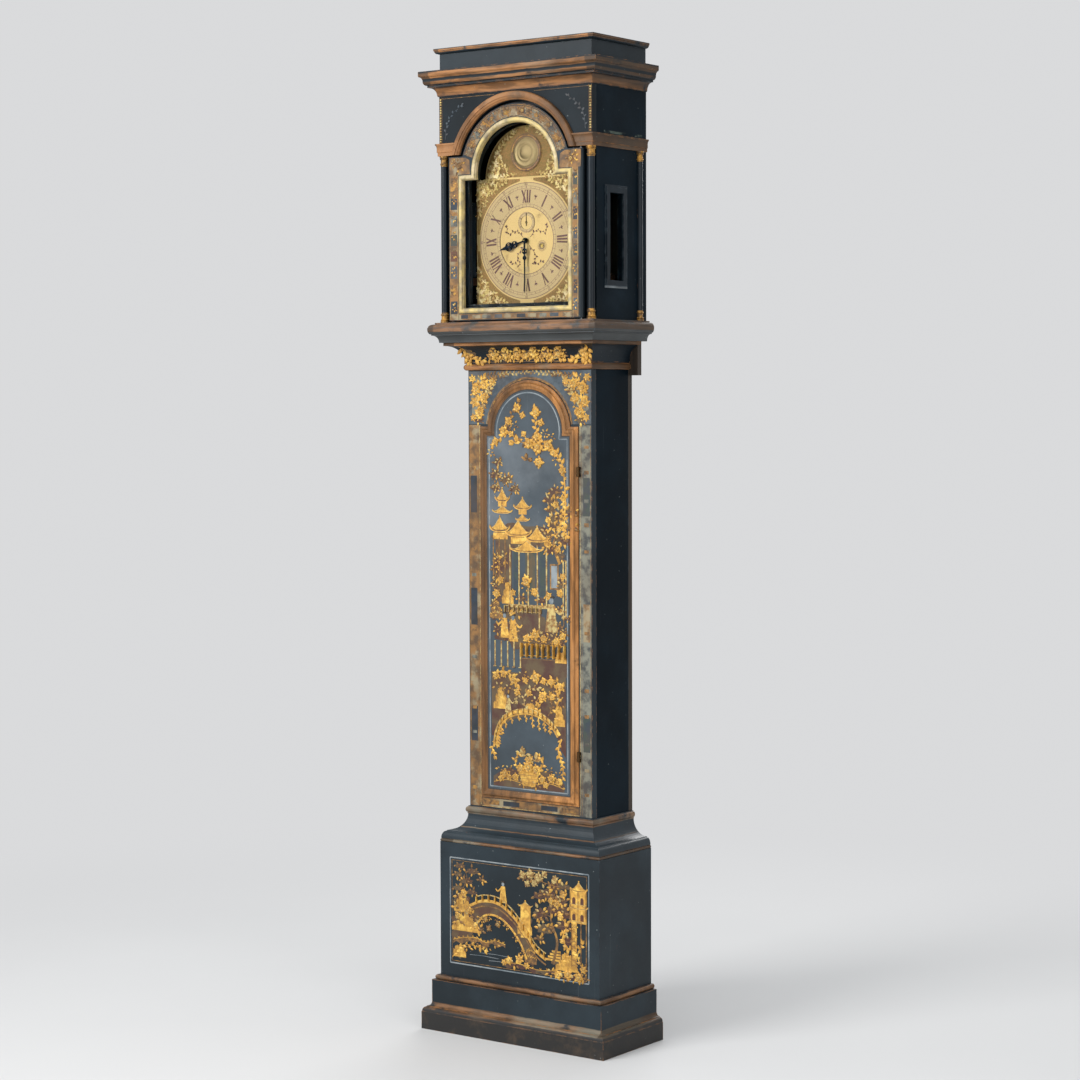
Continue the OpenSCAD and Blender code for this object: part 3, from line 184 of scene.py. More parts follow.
class Graph:
    """A material's node tree with short calls for the nodes used here."""

    def __init__(self, name: str) -> None:
        """Starts a material.

        Args:
            name: Name of the material.
        """
        self.material = bpy.data.materials.new(name)
        self.material.use_nodes = True
        self.tree = self.material.node_tree
        self.shader = self.tree.nodes["Principled BSDF"]
        self.coords = self.node("TexCoord").outputs["Object"]

    def node(self, kind: str, inputs: dict[int | str, object] | None = None,
             **settings: object) -> Node:
        """Adds a shader node, whose type is named without the common prefix."""
        return add_node(self.tree, "ShaderNode" + kind, inputs, **settings)

    def give(self, **values: object) -> None:
        """Gives the shader's inputs sockets or values; an underscore stands for a space."""
        for name, value in values.items():
            plug(self.tree, self.shader.inputs[name.replace("_", " ")], value)

    def math(self, kind: str, *inputs: object) -> Socket:
        """A Math node's result, from sockets or numbers."""
        return self.node("Math", dict(enumerate(inputs)), operation=kind).outputs[0]

    def times(self, a: object, b: object) -> Socket:
        """The product of two sockets or numbers."""
        return self.math("MULTIPLY", a, b)

    def plus(self, a: object, b: object) -> Socket:
        """The sum of two sockets or numbers."""
        return self.math("ADD", a, b)

    def less(self, a: object, b: object) -> Socket:
        """The difference of two sockets or numbers."""
        return self.math("SUBTRACT", a, b)

    def noise(self, scale: float, detail: float = 3.0, rough: float = 0.55,
              stretch: Point3 | None = None) -> Socket:
        """Noise between about 0.2 and 0.8, on coordinates that may be stretched by axis.

        Args:
            scale: Larger is finer.
            detail: Number of octaves.
            rough: Weight of the finer octaves.
            stretch: Factor for each axis, if any.
        Returns:
            The noise.
        """
        place = self.coords
        if stretch is not None:
            place = self.node("VectorMath", {0: place, 1: stretch},
                              operation="MULTIPLY").outputs[0]
        return self.node(
            "TexNoise",
            {"Vector": place, "Scale": scale, "Detail": detail, "Roughness": rough}).outputs["Fac"]

    def cells(self, scale: float) -> Socket:
        """Distance to the borders of random cells."""
        return self.node("TexVoronoi", {"Vector": self.coords, "Scale": scale},
                         feature="DISTANCE_TO_EDGE").outputs["Distance"]

    def step(self, value: object, low: float, high: float) -> Socket:
        """A soft step from 0 at low to 1 at high."""
        return self.node("MapRange", dict(enumerate((value, low, high, 0.0, 1.0))),
                         interpolation_type="SMOOTHSTEP").outputs[0]

    def mix(self, factor: object, a: object, b: object) -> Socket:
        """A colour between a and b."""
        return self.node("Mix", {0: factor, 6: a, 7: b}, data_type="RGBA").outputs[2]

    def wash(self, colour: object, mask: object, share: float, over: object) -> Socket:
        """A colour with a share of another over it where the mask is."""
        return self.mix(self.times(mask, share), colour, over)

    def axis(self, which: str) -> Socket:
        """One object coordinate."""
        return self.node("SeparateXYZ", {0: self.coords}).outputs[which]

    def edges(self, radius: float) -> Socket:
        """A mask that is 1 near the edges of the solid and 0 on its faces.

        Args:
            radius: Reach from the edge in metres.
        Returns:
            The mask.
        """
        bevel = self.node("Bevel", {"Radius": radius}, samples=4)
        normal = self.node("NewGeometry").outputs["Normal"]
        dot = self.node("VectorMath", {0: bevel.outputs[0], 1: normal}, operation="DOT_PRODUCT")
        return self.step(dot.outputs["Value"], 0.995, 0.86)

    def bump(self, height: Socket, strength: float, distance: float) -> None:
        """Adds relief to the shader."""
        node = self.node("Bump", {"Strength": strength, "Distance": distance, "Height": height})
        self.give(Normal=node.outputs[0])

    def paint(self, colour: object, rough: object, metal: float = 0.0) -> Material:
        """Feeds the shader and returns the material."""
        self.give(Base_Color=colour, Roughness=rough, Metallic=metal)
        return self.material


@dataclass(frozen=True)
class Lacquer:
    """Aged japanning: a dark ground with crazing, chips and rubbed edges that carry a painted
    highlight.

    Attributes:
        name: Material name.
        ground: Colour of the lacquer.
        worn: Colour of the rubbed edges, which also stands for a painted highlight along them.
        wear: How far the rubbed and highlit edges reach, from 0 to 1.
        bands: Painted bands as (low z, high z) in metres.
        band_colour: Colour of the bands.
        gloss: Roughness of the sound lacquer.
        sheen: Strength of its reflection.
        rub: Share of the bands that is left, from 0 to 1.
        grain: Stretch of the bands' streaks by axis.
        shade: Two x in metres between which the bands darken as painted shade, or nothing.
        foot: Height in metres below which the ground is grimy.
        sides: Half width in metres beyond which the bands on the side faces are darkened as
            painted shade, or nothing.
        ash: Share of greyed patches in the bands, from 0 to 1.
        veil: Two heights in metres between which pale patches of painted sheen lie, or nothing.
    """

    name: str
    ground: Tone = Tone.DEEP
    worn: Tone = Tone.COPPER
    wear: float = 0.5
    bands: tuple[tuple[float, float], ...] = ()
    band_colour: Tone = Tone.COPPER
    gloss: float = 0.4
    sheen: float = 0.25
    rub: float = 0.8
    grain: tuple[float, float, float] = (11.0, 11.0, 90.0)
    shade: tuple[float, float] | None = None
    foot: float = 0.0
    sides: float | None = None
    ash: float = 0.6
    veil: tuple[float, float] | None = None

    def _ground(self, g: Graph) -> Socket:
        """Clouded ground with its painted sheen and the grime of its foot.

        Args:
            g: The material's graph.
        Returns:
            The colour.
        """
        colour = g.mix(g.step(g.noise(4.0, 6.0, 0.6), 0.36, 0.68), self.ground.by(0.7),
                       self.ground.by(1.35, 0.001))
        colour = g.wash(colour, g.step(g.noise(7.0, 7.0, 0.65), 0.56, 0.78), 0.2, Tone.SLATE)
        # Painted sheen: pale patches between two heights stand for light on the lacquer.
        if self.veil is not None:
            low, high = self.veil
            patch = g.times(
                g.step(g.axis("Z"), low, low + 0.09), g.step(g.axis("Z"), high, high - 0.05))
            patch = g.times(patch, g.step(g.noise(5.0, 6.0), 0.28, 0.74))
            colour = g.wash(colour, patch, 0.6, Tone.VEIL)
        if self.foot:
            grime = g.mix(g.step(g.noise(14.0, 6.0, 0.65), 0.48, 0.72), Tone.GRIME, Tone.DUST)
            colour = g.mix(g.step(g.axis("Z"), self.foot, self.foot - 0.006), colour, grime)
        return colour

    def _banded(self, g: Graph, colour: Socket) -> Socket:
        """The ground with its rubbed and streaked bands over it, darkened by painted shade where
        asked.

        Args:
            g: The material's graph.
            colour: The ground.
        Returns:
            The colour.
        """
        wave = g.times(g.less(g.noise(26.0, 4.0), 0.5), 0.004)
        z = g.plus(g.axis("Z"), wave)
        mask = None
        for low, high in self.bands:
            here = g.times(
                g.step(z, low - 0.001, low + 0.001), g.step(z, high + 0.001, high - 0.001))
            mask = here if mask is None else g.math("MAXIMUM", mask, here)
        left = g.step(g.noise(13.0, 6.0, 0.65), 0.62 - 0.36 * self.rub, 0.7 - 0.3 * self.rub)
        tone = g.mix(g.step(g.noise(1.0, 5.0, 0.6, self.grain), 0.38, 0.64),
                     self.band_colour.by(0.45), self.band_colour.by(1.1))
        tone = g.wash(tone, g.step(g.noise(6.0, 4.0), 0.46, 0.7), self.ash, Tone.ASH_GOLD)
        # Painted shade: the bands on the side faces, beyond the half width, are darkened.
        if self.sides is not None:
            beyond = g.step(g.math("ABSOLUTE", g.axis("X")), self.sides, self.sides + 0.004)
            tone = g.wash(tone, beyond, 0.74, Tone.BARK)
        # Painted shade: the bands darken from the first x to the second.
        if self.shade is not None:
            tone = g.wash(tone, g.step(g.axis("X"), *self.shade), 0.7, Tone.BARK)
        return g.mix(g.times(mask, left), colour, tone)

    def build(self) -> Material:
        """Makes the material.

        Returns:
            The material.
        """
        g = Graph(self.name)
        colour = self._ground(g)
        if self.bands:
            colour = self._banded(g, colour)
        # Rubbed edges: real rubbing, whose pale colour also stands for a painted highlight along
        # the edges.
        broken = g.step(g.noise(46.0, 5.0, 0.6), 0.66 - 0.26 * self.wear, 0.76 - 0.22 * self.wear)
        edge = g.times(g.edges(0.0022), broken)
        colour = g.mix(edge, colour, self.worn)
        chips = g.times(
            g.step(g.noise(23.0, 6.0, 0.7), 0.69, 0.71), g.step(g.noise(4.0, 1.0), 0.5, 0.62))
        specks = g.step(g.noise(150.0, 2.0), 0.75, 0.78)
        scratch = g.step(g.noise(1.0, 3.0, stretch=(150.0, 150.0, 3.0)), 0.71, 0.74)
        for mask, share, tone in ((chips, 0.65, Tone.RED_BROWN), (specks, 0.4, Tone.CHALK),
                                  (scratch, 0.07, Tone.PEARL)):
            colour = g.wash(colour, mask, share, tone)
        craze = g.step(g.cells(85.0), 0.0, 0.05)
        height = g.plus(g.times(craze, 0.3), g.noise(14.0, 3.0))
        g.bump(g.less(height, g.times(chips, 0.8)), 0.35, 0.0006)
        g.give(Specular_IOR_Level=self.sheen)
        rough = g.plus(self.gloss, g.times(g.noise(9.0, 4.0), 0.2))
        return g.paint(colour, g.plus(rough, g.times(edge, 0.2)))


@dataclass(frozen=True)
class Gilding:
    """Burnished or rubbed gold, on mouldings, mounts and painted ornament, with painted highlights
    and shade.

    Attributes:
        name: Material name.
        bright: Colour of the sound gold.
        dull: Colour of the rubbed gold, which also stands for the gold in painted shade.
        metal: Metallic share.
        scale: Size of the variation, larger is finer.
        loss: Share of dark losses, from 0 to 1.
        rough: Roughness.
        glint: Colour of the brightest patches, which are painted highlights.
        shade: Strength of the large dull patches, which are painted shade.
    """

    name: str
    bright: Tone
    dull: Tone
    metal: float = 0.0
    scale: float = 60.0
    loss: float = 0.1
    rough: float = 0.5
    glint: Tone | None = None
    shade: float = 0.3

    def build(self) -> Material:
        """Makes the material.

        Returns:
            The material.
        """
        g = Graph(self.name)
        colour = g.mix(g.step(g.noise(self.scale, 5.0), 0.36, 0.62), self.dull, self.bright)
        # Painted highlights: bright spots in the glint colour.
        if self.glint is not None:
            spots = g.step(g.noise(self.scale * 0.45, 4.0, 0.6), 0.5, 0.66)
            colour = g.mix(spots, colour, self.glint)
        gone = g.step(
            g.noise(self.scale * 0.7, 6.0, 0.7), 0.74 - 0.3 * self.loss, 0.8 - 0.3 * self.loss)
        colour = g.mix(gone, colour, Tone.EARTH)
        # Painted shade: large dull patches.
        colour = g.wash(colour, g.step(g.noise(9.0, 3.0), 0.42, 0.66), self.shade, Tone.UMBER)
        g.bump(g.noise(self.scale * 3.0, 3.0), 0.3, 0.0004)
        rough = g.plus(self.rough, g.times(g.noise(self.scale, 3.0), 0.2))
        return g.paint(colour, rough, self.metal)


@dataclass(frozen=True)
class Metal:
    """Plain metal with fine polishing marks.

    Attributes:
        name: Material name.
        tone: Colour.
        rough: Roughness.
        spots: Share of dark tarnish.
        grain: Stretch of the polishing marks by axis.
        metal: Metallic share.
        centre: x and z in metres of the turned rings, or nothing.
    """

    name: str
    tone: Tone
    rough: float = 0.3
    spots: float = 0.3
    grain: tuple[float, float, float] = (40.0, 40.0, 600.0)
    metal: float = 1.0
    centre: Point | None = None

    def build(self) -> Material:
        """Makes the material.

        Returns:
            The material.
        """
        g = Graph(self.name)
        marks = g.noise(1.0, 2.0, stretch=self.grain)
        dark = self.tone.by(0.5)
        tarnish = g.step(g.noise(28.0, 6.0, 0.65), 0.66 - 0.2 * self.spots, 0.8)
        colour = g.mix(tarnish, self.tone, dark)
        colour = g.wash(colour, marks, 0.25, dark)
        if self.centre is None:
            g.bump(marks, 0.12, 0.0002)
        else:
            u, v = (g.less(g.axis(a), c) for a, c in zip("XZ", self.centre))
            radius = g.math("SQRT", g.plus(g.times(u, u), g.times(v, v)))
            rings = g.math("SINE", g.times(radius, 1400.0))
            colour = g.wash(colour, g.step(rings, 0.2, 1.0), 0.3, dark)
            g.bump(rings, 0.4, 0.0003)
        rough = g.plus(self.rough, g.times(tarnish, 0.25))
        return g.paint(colour, rough, self.metal)


@dataclass(frozen=True)
class Timber:
    """Bare wood with grain along Z.

    Attributes:
        name: Material name.
        tone: Colour.
        grain: Stretch of the grain by axis.
        seams: x in metres of the joints between boards.
    """

    name: str
    tone: Tone = Tone.OAK
    grain: tuple[float, float, float] = (60.0, 60.0, 2.5)
    seams: tuple[float, ...] = ()

    def build(self) -> Material:
        """Makes the material.

        Returns:
            The material.
        """
        g = Graph(self.name)
        fibres = g.noise(1.0, 5.0, 0.6, self.grain)
        colour = g.mix(g.step(fibres, 0.35, 0.65), self.tone.by(0.45), self.tone)
        colour = g.mix(g.step(g.noise(3.0, 4.0), 0.5, 0.75), colour, self.tone.by(0.4))
        height = fibres
        for x in self.seams:
            gap = g.step(g.math("ABSOLUTE", g.less(g.axis("X"), x)), 0.0014, 0.0006)
            colour = g.mix(gap, colour, self.tone.by(0.12))
            height = g.less(height, gap)
        g.bump(height, 0.4, 0.0008)
        return g.paint(colour, 0.68)


@dataclass(frozen=True)
class Pane:
    """Old clear glass.

    Attributes:
        name: Material name.
        tint: Colour of the glass.
    """

    name: str
    tint: Colour = (0.97, 0.99, 0.98)

    def build(self) -> Material:
        """Makes the material.

        Returns:
            The material.
        """
        g = Graph(self.name)
        g.bump(g.noise(11.0, 1.0), 0.03, 0.0004)
        g.give(Transmission_Weight=1.0, IOR=1.01, Specular_IOR_Level=0.9)
        return g.paint(self.tint, 0.02)


@dataclass(frozen=True)
class Gut:
    """Twisted gut line.

    Attributes:
        name: Material name.
    """

    name: str

    def build(self) -> Material:
        """Makes the material.

        Returns:
            The material.
        """
        g = Graph(self.name)
        g.bump(g.noise(900.0), 0.3, 0.0002)
        return g.paint(g.mix(g.noise(220.0), Tone.GUT, Tone.GUT.by(0.5)), 0.6)


def along(points: Sequence[Point], steps: int = 8) -> list[Point]:
    """A smooth path through the given points.

    Args:
        points: At least two points.
        steps: How many pieces each stretch has.
    Returns:
        The points of the path, ends included.
    """
    if len(points) == 2:
        (x0, z0), (x1, z1) = points
        return [(x0 + (x1 - x0) * i / steps, z0 + (z1 - z0) * i / steps) for i in range(steps + 1)]
    ends = [points[0], *points, points[-1]]
    path: list[Point] = []
    for a, b, c, d in zip(ends, ends[1:], ends[2:], ends[3:]):
        for i in range(steps):
            t = i / steps
            path.append(tuple(0.5 * (2 * b[k] + (c[k] - a[k]) * t
                              + (2 * a[k] - 5 * b[k] + 4 * c[k] - d[k]) * t * t
                              + (3 * b[k] - a[k] - 3 * c[k] + d[k]) * t ** 3)
                        for k in (0, 1)))
    path.append(tuple(points[-1]))
    return path


def round_angles(count: int) -> list[float]:
    """Evenly spaced angles around a circle, in radians."""
    return [2 * pi * i / count for i in range(count)]


def arc(x: float, z: float, radius: float, start: float, sweep: float, steps: int) -> list[Point]:
    """Points along an arc about (x, z), by its first angle and its sweep in radians."""
    return [(x + radius * cos(a), z + radius * sin(a))
            for a in (start + sweep * i / steps for i in range(steps + 1))]


def oval(x: float, z: float, rx: float, rz: float, count: int = 14) -> list[Point]:
    """An oval outline, anticlockwise in the front view."""
    return [(x + rx * cos(a), z + rz * sin(a)) for a in round_angles(count)]


def mirrored(side: int, points: Iterable[Point]) -> list[Point]:
    """The points at the right side, or turned over to the left."""
    return [(side * x, z) for x, z in points]


def corners(x0: float, x1: float, z0: float, z1: float) -> list[Point]:
    """The four corners of a rectangle."""
    return [(x0, z0), (x1, z0), (x1, z1), (x0, z1)]


def area(outline: Sequence[Point]) -> float:
    """Signed area of an outline, positive when it runs anticlockwise."""
    return sum(a[0] * b[1] - b[0] * a[1] for a, b in zip(outline, [*outline[1:], outline[0]])) / 2


def shell(bm: BMesh, rings: Sequence[Sequence[BMVert]]) -> None:
    """Joins rings of vertices with faces and closes both ends.

    Args:
        bm: The mesh.
        rings: Rings with the same number of vertices.
    """
    for lower, upper in zip(rings, rings[1:]):
        for k in range(len(lower)):
            n = (k + 1) % len(lower)
            bm.faces.new((lower[k], lower[n], upper[n], upper[k]))
    bm.faces.new(list(reversed(rings[0])))
    bm.faces.new(rings[-1])


def closed(bm: BMesh, name: str) -> Mesh:
    """The mesh of what was gathered, with its faces outwards.

    Args:
        bm: What was gathered, which is freed.
        name: Name of the mesh.
    Returns:
        The mesh.
    """
    bmesh.ops.recalc_face_normals(bm, faces=bm.faces)
    data = bpy.data.meshes.new(name)
    bm.to_mesh(data)
    bm.free()
    return data


def evaluated(holder: Object) -> Mesh:
    """The plain mesh of a linked object with its modifiers and curves applied."""
    graph = bpy.context.evaluated_depsgraph_get()
    return bpy.data.meshes.new_from_object(holder.evaluated_get(graph))


Ground = float | Callable[[float, float], float]


def face(ground: Ground, x: float, z: float) -> float:
    """y of the painted face at a place in millimetres."""
    return ground(x, z) if callable(ground) else ground


class Relief:
    """Low raised shapes on a face of the case that looks forward.

    Attributes:
        ground: The face's y in metres, or a function that gives it at a place.
        bm: The mesh that gathers them.
        laid: Number of shapes laid so far, so that no two tops share a level.
    """

    laid = 0

    def __init__(self, ground: Ground) -> None:
        """Starts an empty mesh."""
        self.ground = ground
        self.bm = bmesh.new()

    def vertex(self, x: float, z: float, height: float) -> BMVert:
        """A vertex at a place in millimetres and a height above the face."""
        y = face(self.ground, x, z) - height * MM
        return self.bm.verts.new((x * MM, y, z * MM))

    def shape(self, outline: Sequence[Point], rise: float, edge: float,
              base: float = -0.15) -> None:
        """Raises one closed outline with a rounded edge.

        Args:
            outline: Points in millimetres.
            rise: Height of its top in millimetres.
            edge: Width of the rounded edge.
            base: Height of its hidden underside.
        """
        Relief.laid += 1
        rise += 0.003 * (Relief.laid % 30)
        points = list(outline if area(outline) > 0 else reversed(outline))
        inner = []
        for a, b, c in zip([points[-1], *points], points, [*points[1:], points[0]]):
            out = Vector((0.0, 0.0))
            for s, e in ((a, b), (b, c)):
                out += Vector((e[1] - s[1], s[0] - e[0])).normalized()
            if out.length > 0.3:
                out = out / max(out.length ** 2 / 2, 0.5)
            inner.append((b[0] - edge * out.x, b[1] - edge * out.y))
        shell(self.bm, [[self.vertex(x, z, height) for x, z in ring] for ring, height in
                        ((points, base), (points, rise * 0.45), (inner, rise))])

    def stroke(self, path: Sequence[Point], wide: float, rise: float,
               thin: float | None = None, base: float = -0.15) -> None:
        """Draws a ridged stroke that tapers from one end to the other.

        Args:
            path: Points in millimetres.
            wide: Width at the start.
            rise: Height of its ridge.
            thin: Width at the end, or the same.
            base: Height of its hidden underside.
        """
        thin = wide if thin is None else thin
        rows = []
        for i, (x, z) in enumerate(path):
            a, b = path[max(0, i - 1)], path[min(len(path) - 1, i + 1)]
            d = Vector((b[0] - a[0], b[1] - a[1])).normalized()
            half = 0.5 * (wide + (thin - wide) * i / max(1, len(path) - 1))
            u, v = -d.y * half, d.x * half
            rows.append(
                [self.vertex(x + u * share, z + v * share, height)
                 for share, height in ((1, base), (0.7, rise * 0.8), (-0.7, rise), (-1, base))])
        shell(self.bm, rows)


class Unit(Enum):
    """Small shapes that repeat in the ornament."""

    LEAF = "leaf"
    BLOSSOM = "blossom"
    BEAD = "bead"
    BAR = "bar"


def petals(scale: float) -> list[Point]:
    """Outline of a blossom with five petals."""
    return [(scale * r * cos(a), scale * r * sin(a))
            for a, r in zip(round_angles(20), (0.34, 0.46, 0.5, 0.46) * 5)]


def unit_mesh(kind: Unit) -> Mesh:
    """One repeated shape, about a metre long, raised towards the front.

    Args:
        kind: Which shape.
    Returns:
        Its closed mesh.
    """
    if kind is Unit.LEAF:
        half = [(t, 0.27 * sin(pi * t ** 0.8)) for t in (0.0, 0.2, 0.42, 0.66, 0.86, 1.0)]
        outline = [(x, -z) for x, z in half] + [(x, z) for x, z in reversed(half[1:-1])]
        inner = [(0.12 + 0.76 * x, z * 0.3) for x, z in outline]
        rings = ((outline, 0.1), (outline, -0.035), (inner, -0.13))
    elif kind is Unit.BLOSSOM:
        rings = [(petals(scale), y) for scale, y in ((1.0, 0.08), (1.0, -0.05), (0.72, -0.12),
                                                     (0.36, -0.07), (0.3, -0.15), (0.12, -0.19))]
    elif kind is Unit.BEAD:
        rings = [(oval(0, 0, r, r, count=8), y)
                 for r, y in ((0.5, 0.12), (0.5, -0.06), (0.38, -0.2), (0.16, -0.28))]
    else:
        square = corners(-0.5, 0.5, -0.5, 0.5)
        rings = ((square, 0.5), (square, -0.5))
    bm = bmesh.new()
    shell(bm, [[bm.verts.new((x, y, z)) for x, z in ring] for ring, y in rings])
    return closed(bm, "unit_" + kind.value)


@dataclass
class Repeat:
    """Geometry Nodes that stand one unit on each of many places.

    Attributes:
        unit: The repeated shape.
        seed: Seed of the small random turns.
        wobble: Largest random turn in radians.
        places: (x, y, z, turn, length, depth, width) of each unit.
    """

    unit: Unit
    seed: int
    wobble: float
    places: list[tuple[float, ...]] = field(default_factory=list)

    def add(self, x: float, z: float, turn: float, length: float, width: float | None,
            y: float, deep: float | None) -> None:
        """Adds one place; y is metres, the rest millimetres and radians."""
        width = width or length
        self.places.append((x, y, z, turn, length, deep or (length + width) / 2, width))

    def _tree(self) -> NodeTree:
        """The node tree, with named inputs for what it is given.

        Returns:
            The tree.
        """
        tree = bpy.data.node_groups.new("stand_" + self.unit.value, "GeometryNodeTree")
        for name, kind in (("Places", "Geometry"), ("Unit", "Object"), ("Wobble", "Float"),
                           ("Seed", "Int"), ("Finish", "Material")):
            tree.interface.new_socket(name, in_out="INPUT", socket_type="NodeSocket" + kind)
        tree.interface.new_socket("Geometry", in_out="OUTPUT", socket_type="NodeSocketGeometry")

        def result(kind: str, inputs: dict[int | str, object], **settings: object) -> Socket:
            """Adds a node and returns its first live output."""
            node = add_node(tree, kind, inputs, **settings)
            return next(s for s in node.outputs if s.enabled)

        given = tree.nodes.new("NodeGroupInput").outputs
        chance = add_node(
            tree, "FunctionNodeRandomValue", {"Seed": given["Seed"]}, data_type="FLOAT")
        low, high = (s for s in chance.inputs if s.name in ("Min", "Max") and s.enabled)
        plug(tree, low, result("ShaderNodeMath", {0: given["Wobble"], 1: -1.0},
                               operation="MULTIPLY"))
        plug(tree, high, given["Wobble"])
        turn, size = (result("GeometryNodeInputNamedAttribute", {"Name": name}, data_type=kind)
                      for name, kind in (("turn", "FLOAT"), ("size", "FLOAT_VECTOR")))
        jitter = next(s for s in chance.outputs if s.enabled)
        angle = result("ShaderNodeMath", {0: jitter, 1: turn}, operation="SUBTRACT")
        info = add_node(tree, "GeometryNodeObjectInfo", {"Object": given["Unit"]})
        stand = result("GeometryNodeInstanceOnPoints", {
            "Points": given["Places"], "Instance": info.outputs["Geometry"],
            "Rotation": result("ShaderNodeCombineXYZ", {"Y": angle}), "Scale": size})
        real = result("GeometryNodeRealizeInstances", {0: stand})
        add_node(tree, "NodeGroupOutput", {"Geometry": result(
            "GeometryNodeSetMaterial", {"Geometry": real, "Material": given["Finish"]})})
        return tree

    def mesh(self, name: str, material: Material) -> Mesh:
        """Runs the nodes and returns the plain mesh.

        Args:
            name: Name of the mesh.
            material: What it is finished in.
        Returns:
            The mesh with every unit in it.
        """
        points = bpy.data.meshes.new(name + "_places")
        points.from_pydata([(x * MM, y, z * MM) for x, y, z, *_ in self.places], [], [])
        turn = points.attributes.new("turn", "FLOAT", "POINT")
        turn.data.foreach_set("value", [p[3] for p in self.places])
        size = points.attributes.new("size", "FLOAT_VECTOR", "POINT")
        size.data.foreach_set("vector", [v * MM for p in self.places for v in p[4:]])
        holder = link_object(name + "_holder", points)
        unit = bpy.data.objects.new(name + "_unit", unit_mesh(self.unit))
        given = {"Unit": unit, "Wobble": self.wobble, "Seed": self.seed, "Finish": material}
        modifier = holder.modifiers.new("stand", "NODES")
        modifier.node_group = self._tree()
        for item in modifier.node_group.interface.items_tree:
            if item.in_out == "INPUT" and item.name in given:
                modifier[item.identifier] = given[item.name]
        holder.update_tag()
        mesh = evaluated(holder)
        mesh.name = name
        holder.modifiers.remove(modifier)
        for used in (holder, unit):
            bpy.data.objects.remove(used)
        return mesh


class Coat(Enum):
    """Finishes of the raised and painted ornament."""

    GOLD = Gilding("ornament_gold", Tone.GOLD, Tone.OLD_GOLD, metal=0.2, scale=95.0, loss=0.2,
                   rough=0.4, glint=Tone.LIGHT_GOLD, shade=0.2)
    DULL = Gilding("ornament_dull", Tone.BROWN_GOLD, Tone.UMBER, metal=0.15, scale=110.0,
                   loss=0.2, glint=Tone.OLD_GOLD)
    PALE = Gilding("ornament_pale", Tone.PALE_GOLD, Tone.BROWN_GOLD, metal=0.2, scale=120.0,
                   loss=0.15, rough=0.45)
    BROWN = Gilding("ornament_brown", Tone.OLIVE, Tone.RUST, scale=28.0, loss=0.5, rough=0.55)
    GREY = Gilding("ornament_grey", Tone.PEARL, Tone.MIST, scale=30.0, loss=0.05, shade=0.15)
    INK = Gilding("ornament_ink", Tone.INK, Tone.BARK, scale=120.0, loss=0.0)
    RED = Gilding("ornament_red", Tone.RED_BROWN, Tone.RUST)
    STILE = Gilding("border_brown_gold", Tone.BROWN_GOLD, Tone.UMBER, metal=0.1, scale=45.0,
                    loss=0.25, glint=Tone.TAN)
    ASH = Gilding(
        "border_ash_gold", Tone.ASH_GOLD, Tone.FOOT, metal=0.05, scale=45.0, loss=0.18, rough=0.55)
    NIGHT = Gilding("border_night", Tone.NIGHT, Tone.BLACK_BLUE)
    SAGE = Gilding("border_sage", Tone.SAGE, Tone.SLATE, rough=0.55)
    OLIVE = Gilding("ground_olive", Tone.OLIVE, Tone.SAGE, scale=24.0, rough=0.55)
    HAZE = Gilding("border_haze", Tone.GREY_BLUE, Tone.SLATE, scale=40.0)
    WORN = Gilding("engraved_wax", Tone.WAX, Tone.EARTH, scale=160.0, loss=0.0, rough=0.6)
    TAN = Gilding("border_tan", Tone.TAN, Tone.UMBER, metal=0.1, loss=0.0)
    MATT = Gilding(
        "matted_brass", Tone.MATT, Tone.BROWN_GOLD, metal=0.4, scale=260.0, loss=0.0, rough=0.55)
    CAST = Gilding("cast_gilt", Tone.PALE_GOLD, Tone.BROWN_GOLD, metal=0.55, scale=90.0,
                   loss=0.05, rough=0.42, glint=Tone.CREAM, shade=0.1)


(GOLD, DULL, PALE, BROWN, GREY, INK, RED, STILE, ASH, NIGHT, SAGE, OLIVE,
 HAZE, WORN, TAN, MATT, CAST) = Coat


@cache
def finish_of(coat: Coat) -> Material:
    """The material of an ornament finish, made once."""
    return coat.value.build()


def link_object(name: str, data: bpy.types.ID) -> Object:
    """Puts new data into the scene as an object at the origin.

    Args:
        name: Name of the object.
        data: Its data.
    Returns:
        The object.
    """
    piece = bpy.data.objects.new(name, data)
    bpy.context.scene.collection.objects.link(piece)
    return piece


def add_object(name: str, mesh: Mesh, material: Material) -> Object:
    """Links a finished mesh, in the row frame, with its one material.

    Args:
        name: Name of the object.
        mesh: Its mesh.
        material: Its material.
    Returns:
        The object.
    """
    mesh.materials.clear()
    mesh.materials.append(material)
    LOG.info("%s: %d faces", name, len(mesh.polygons))
    return link_object(name, mesh)


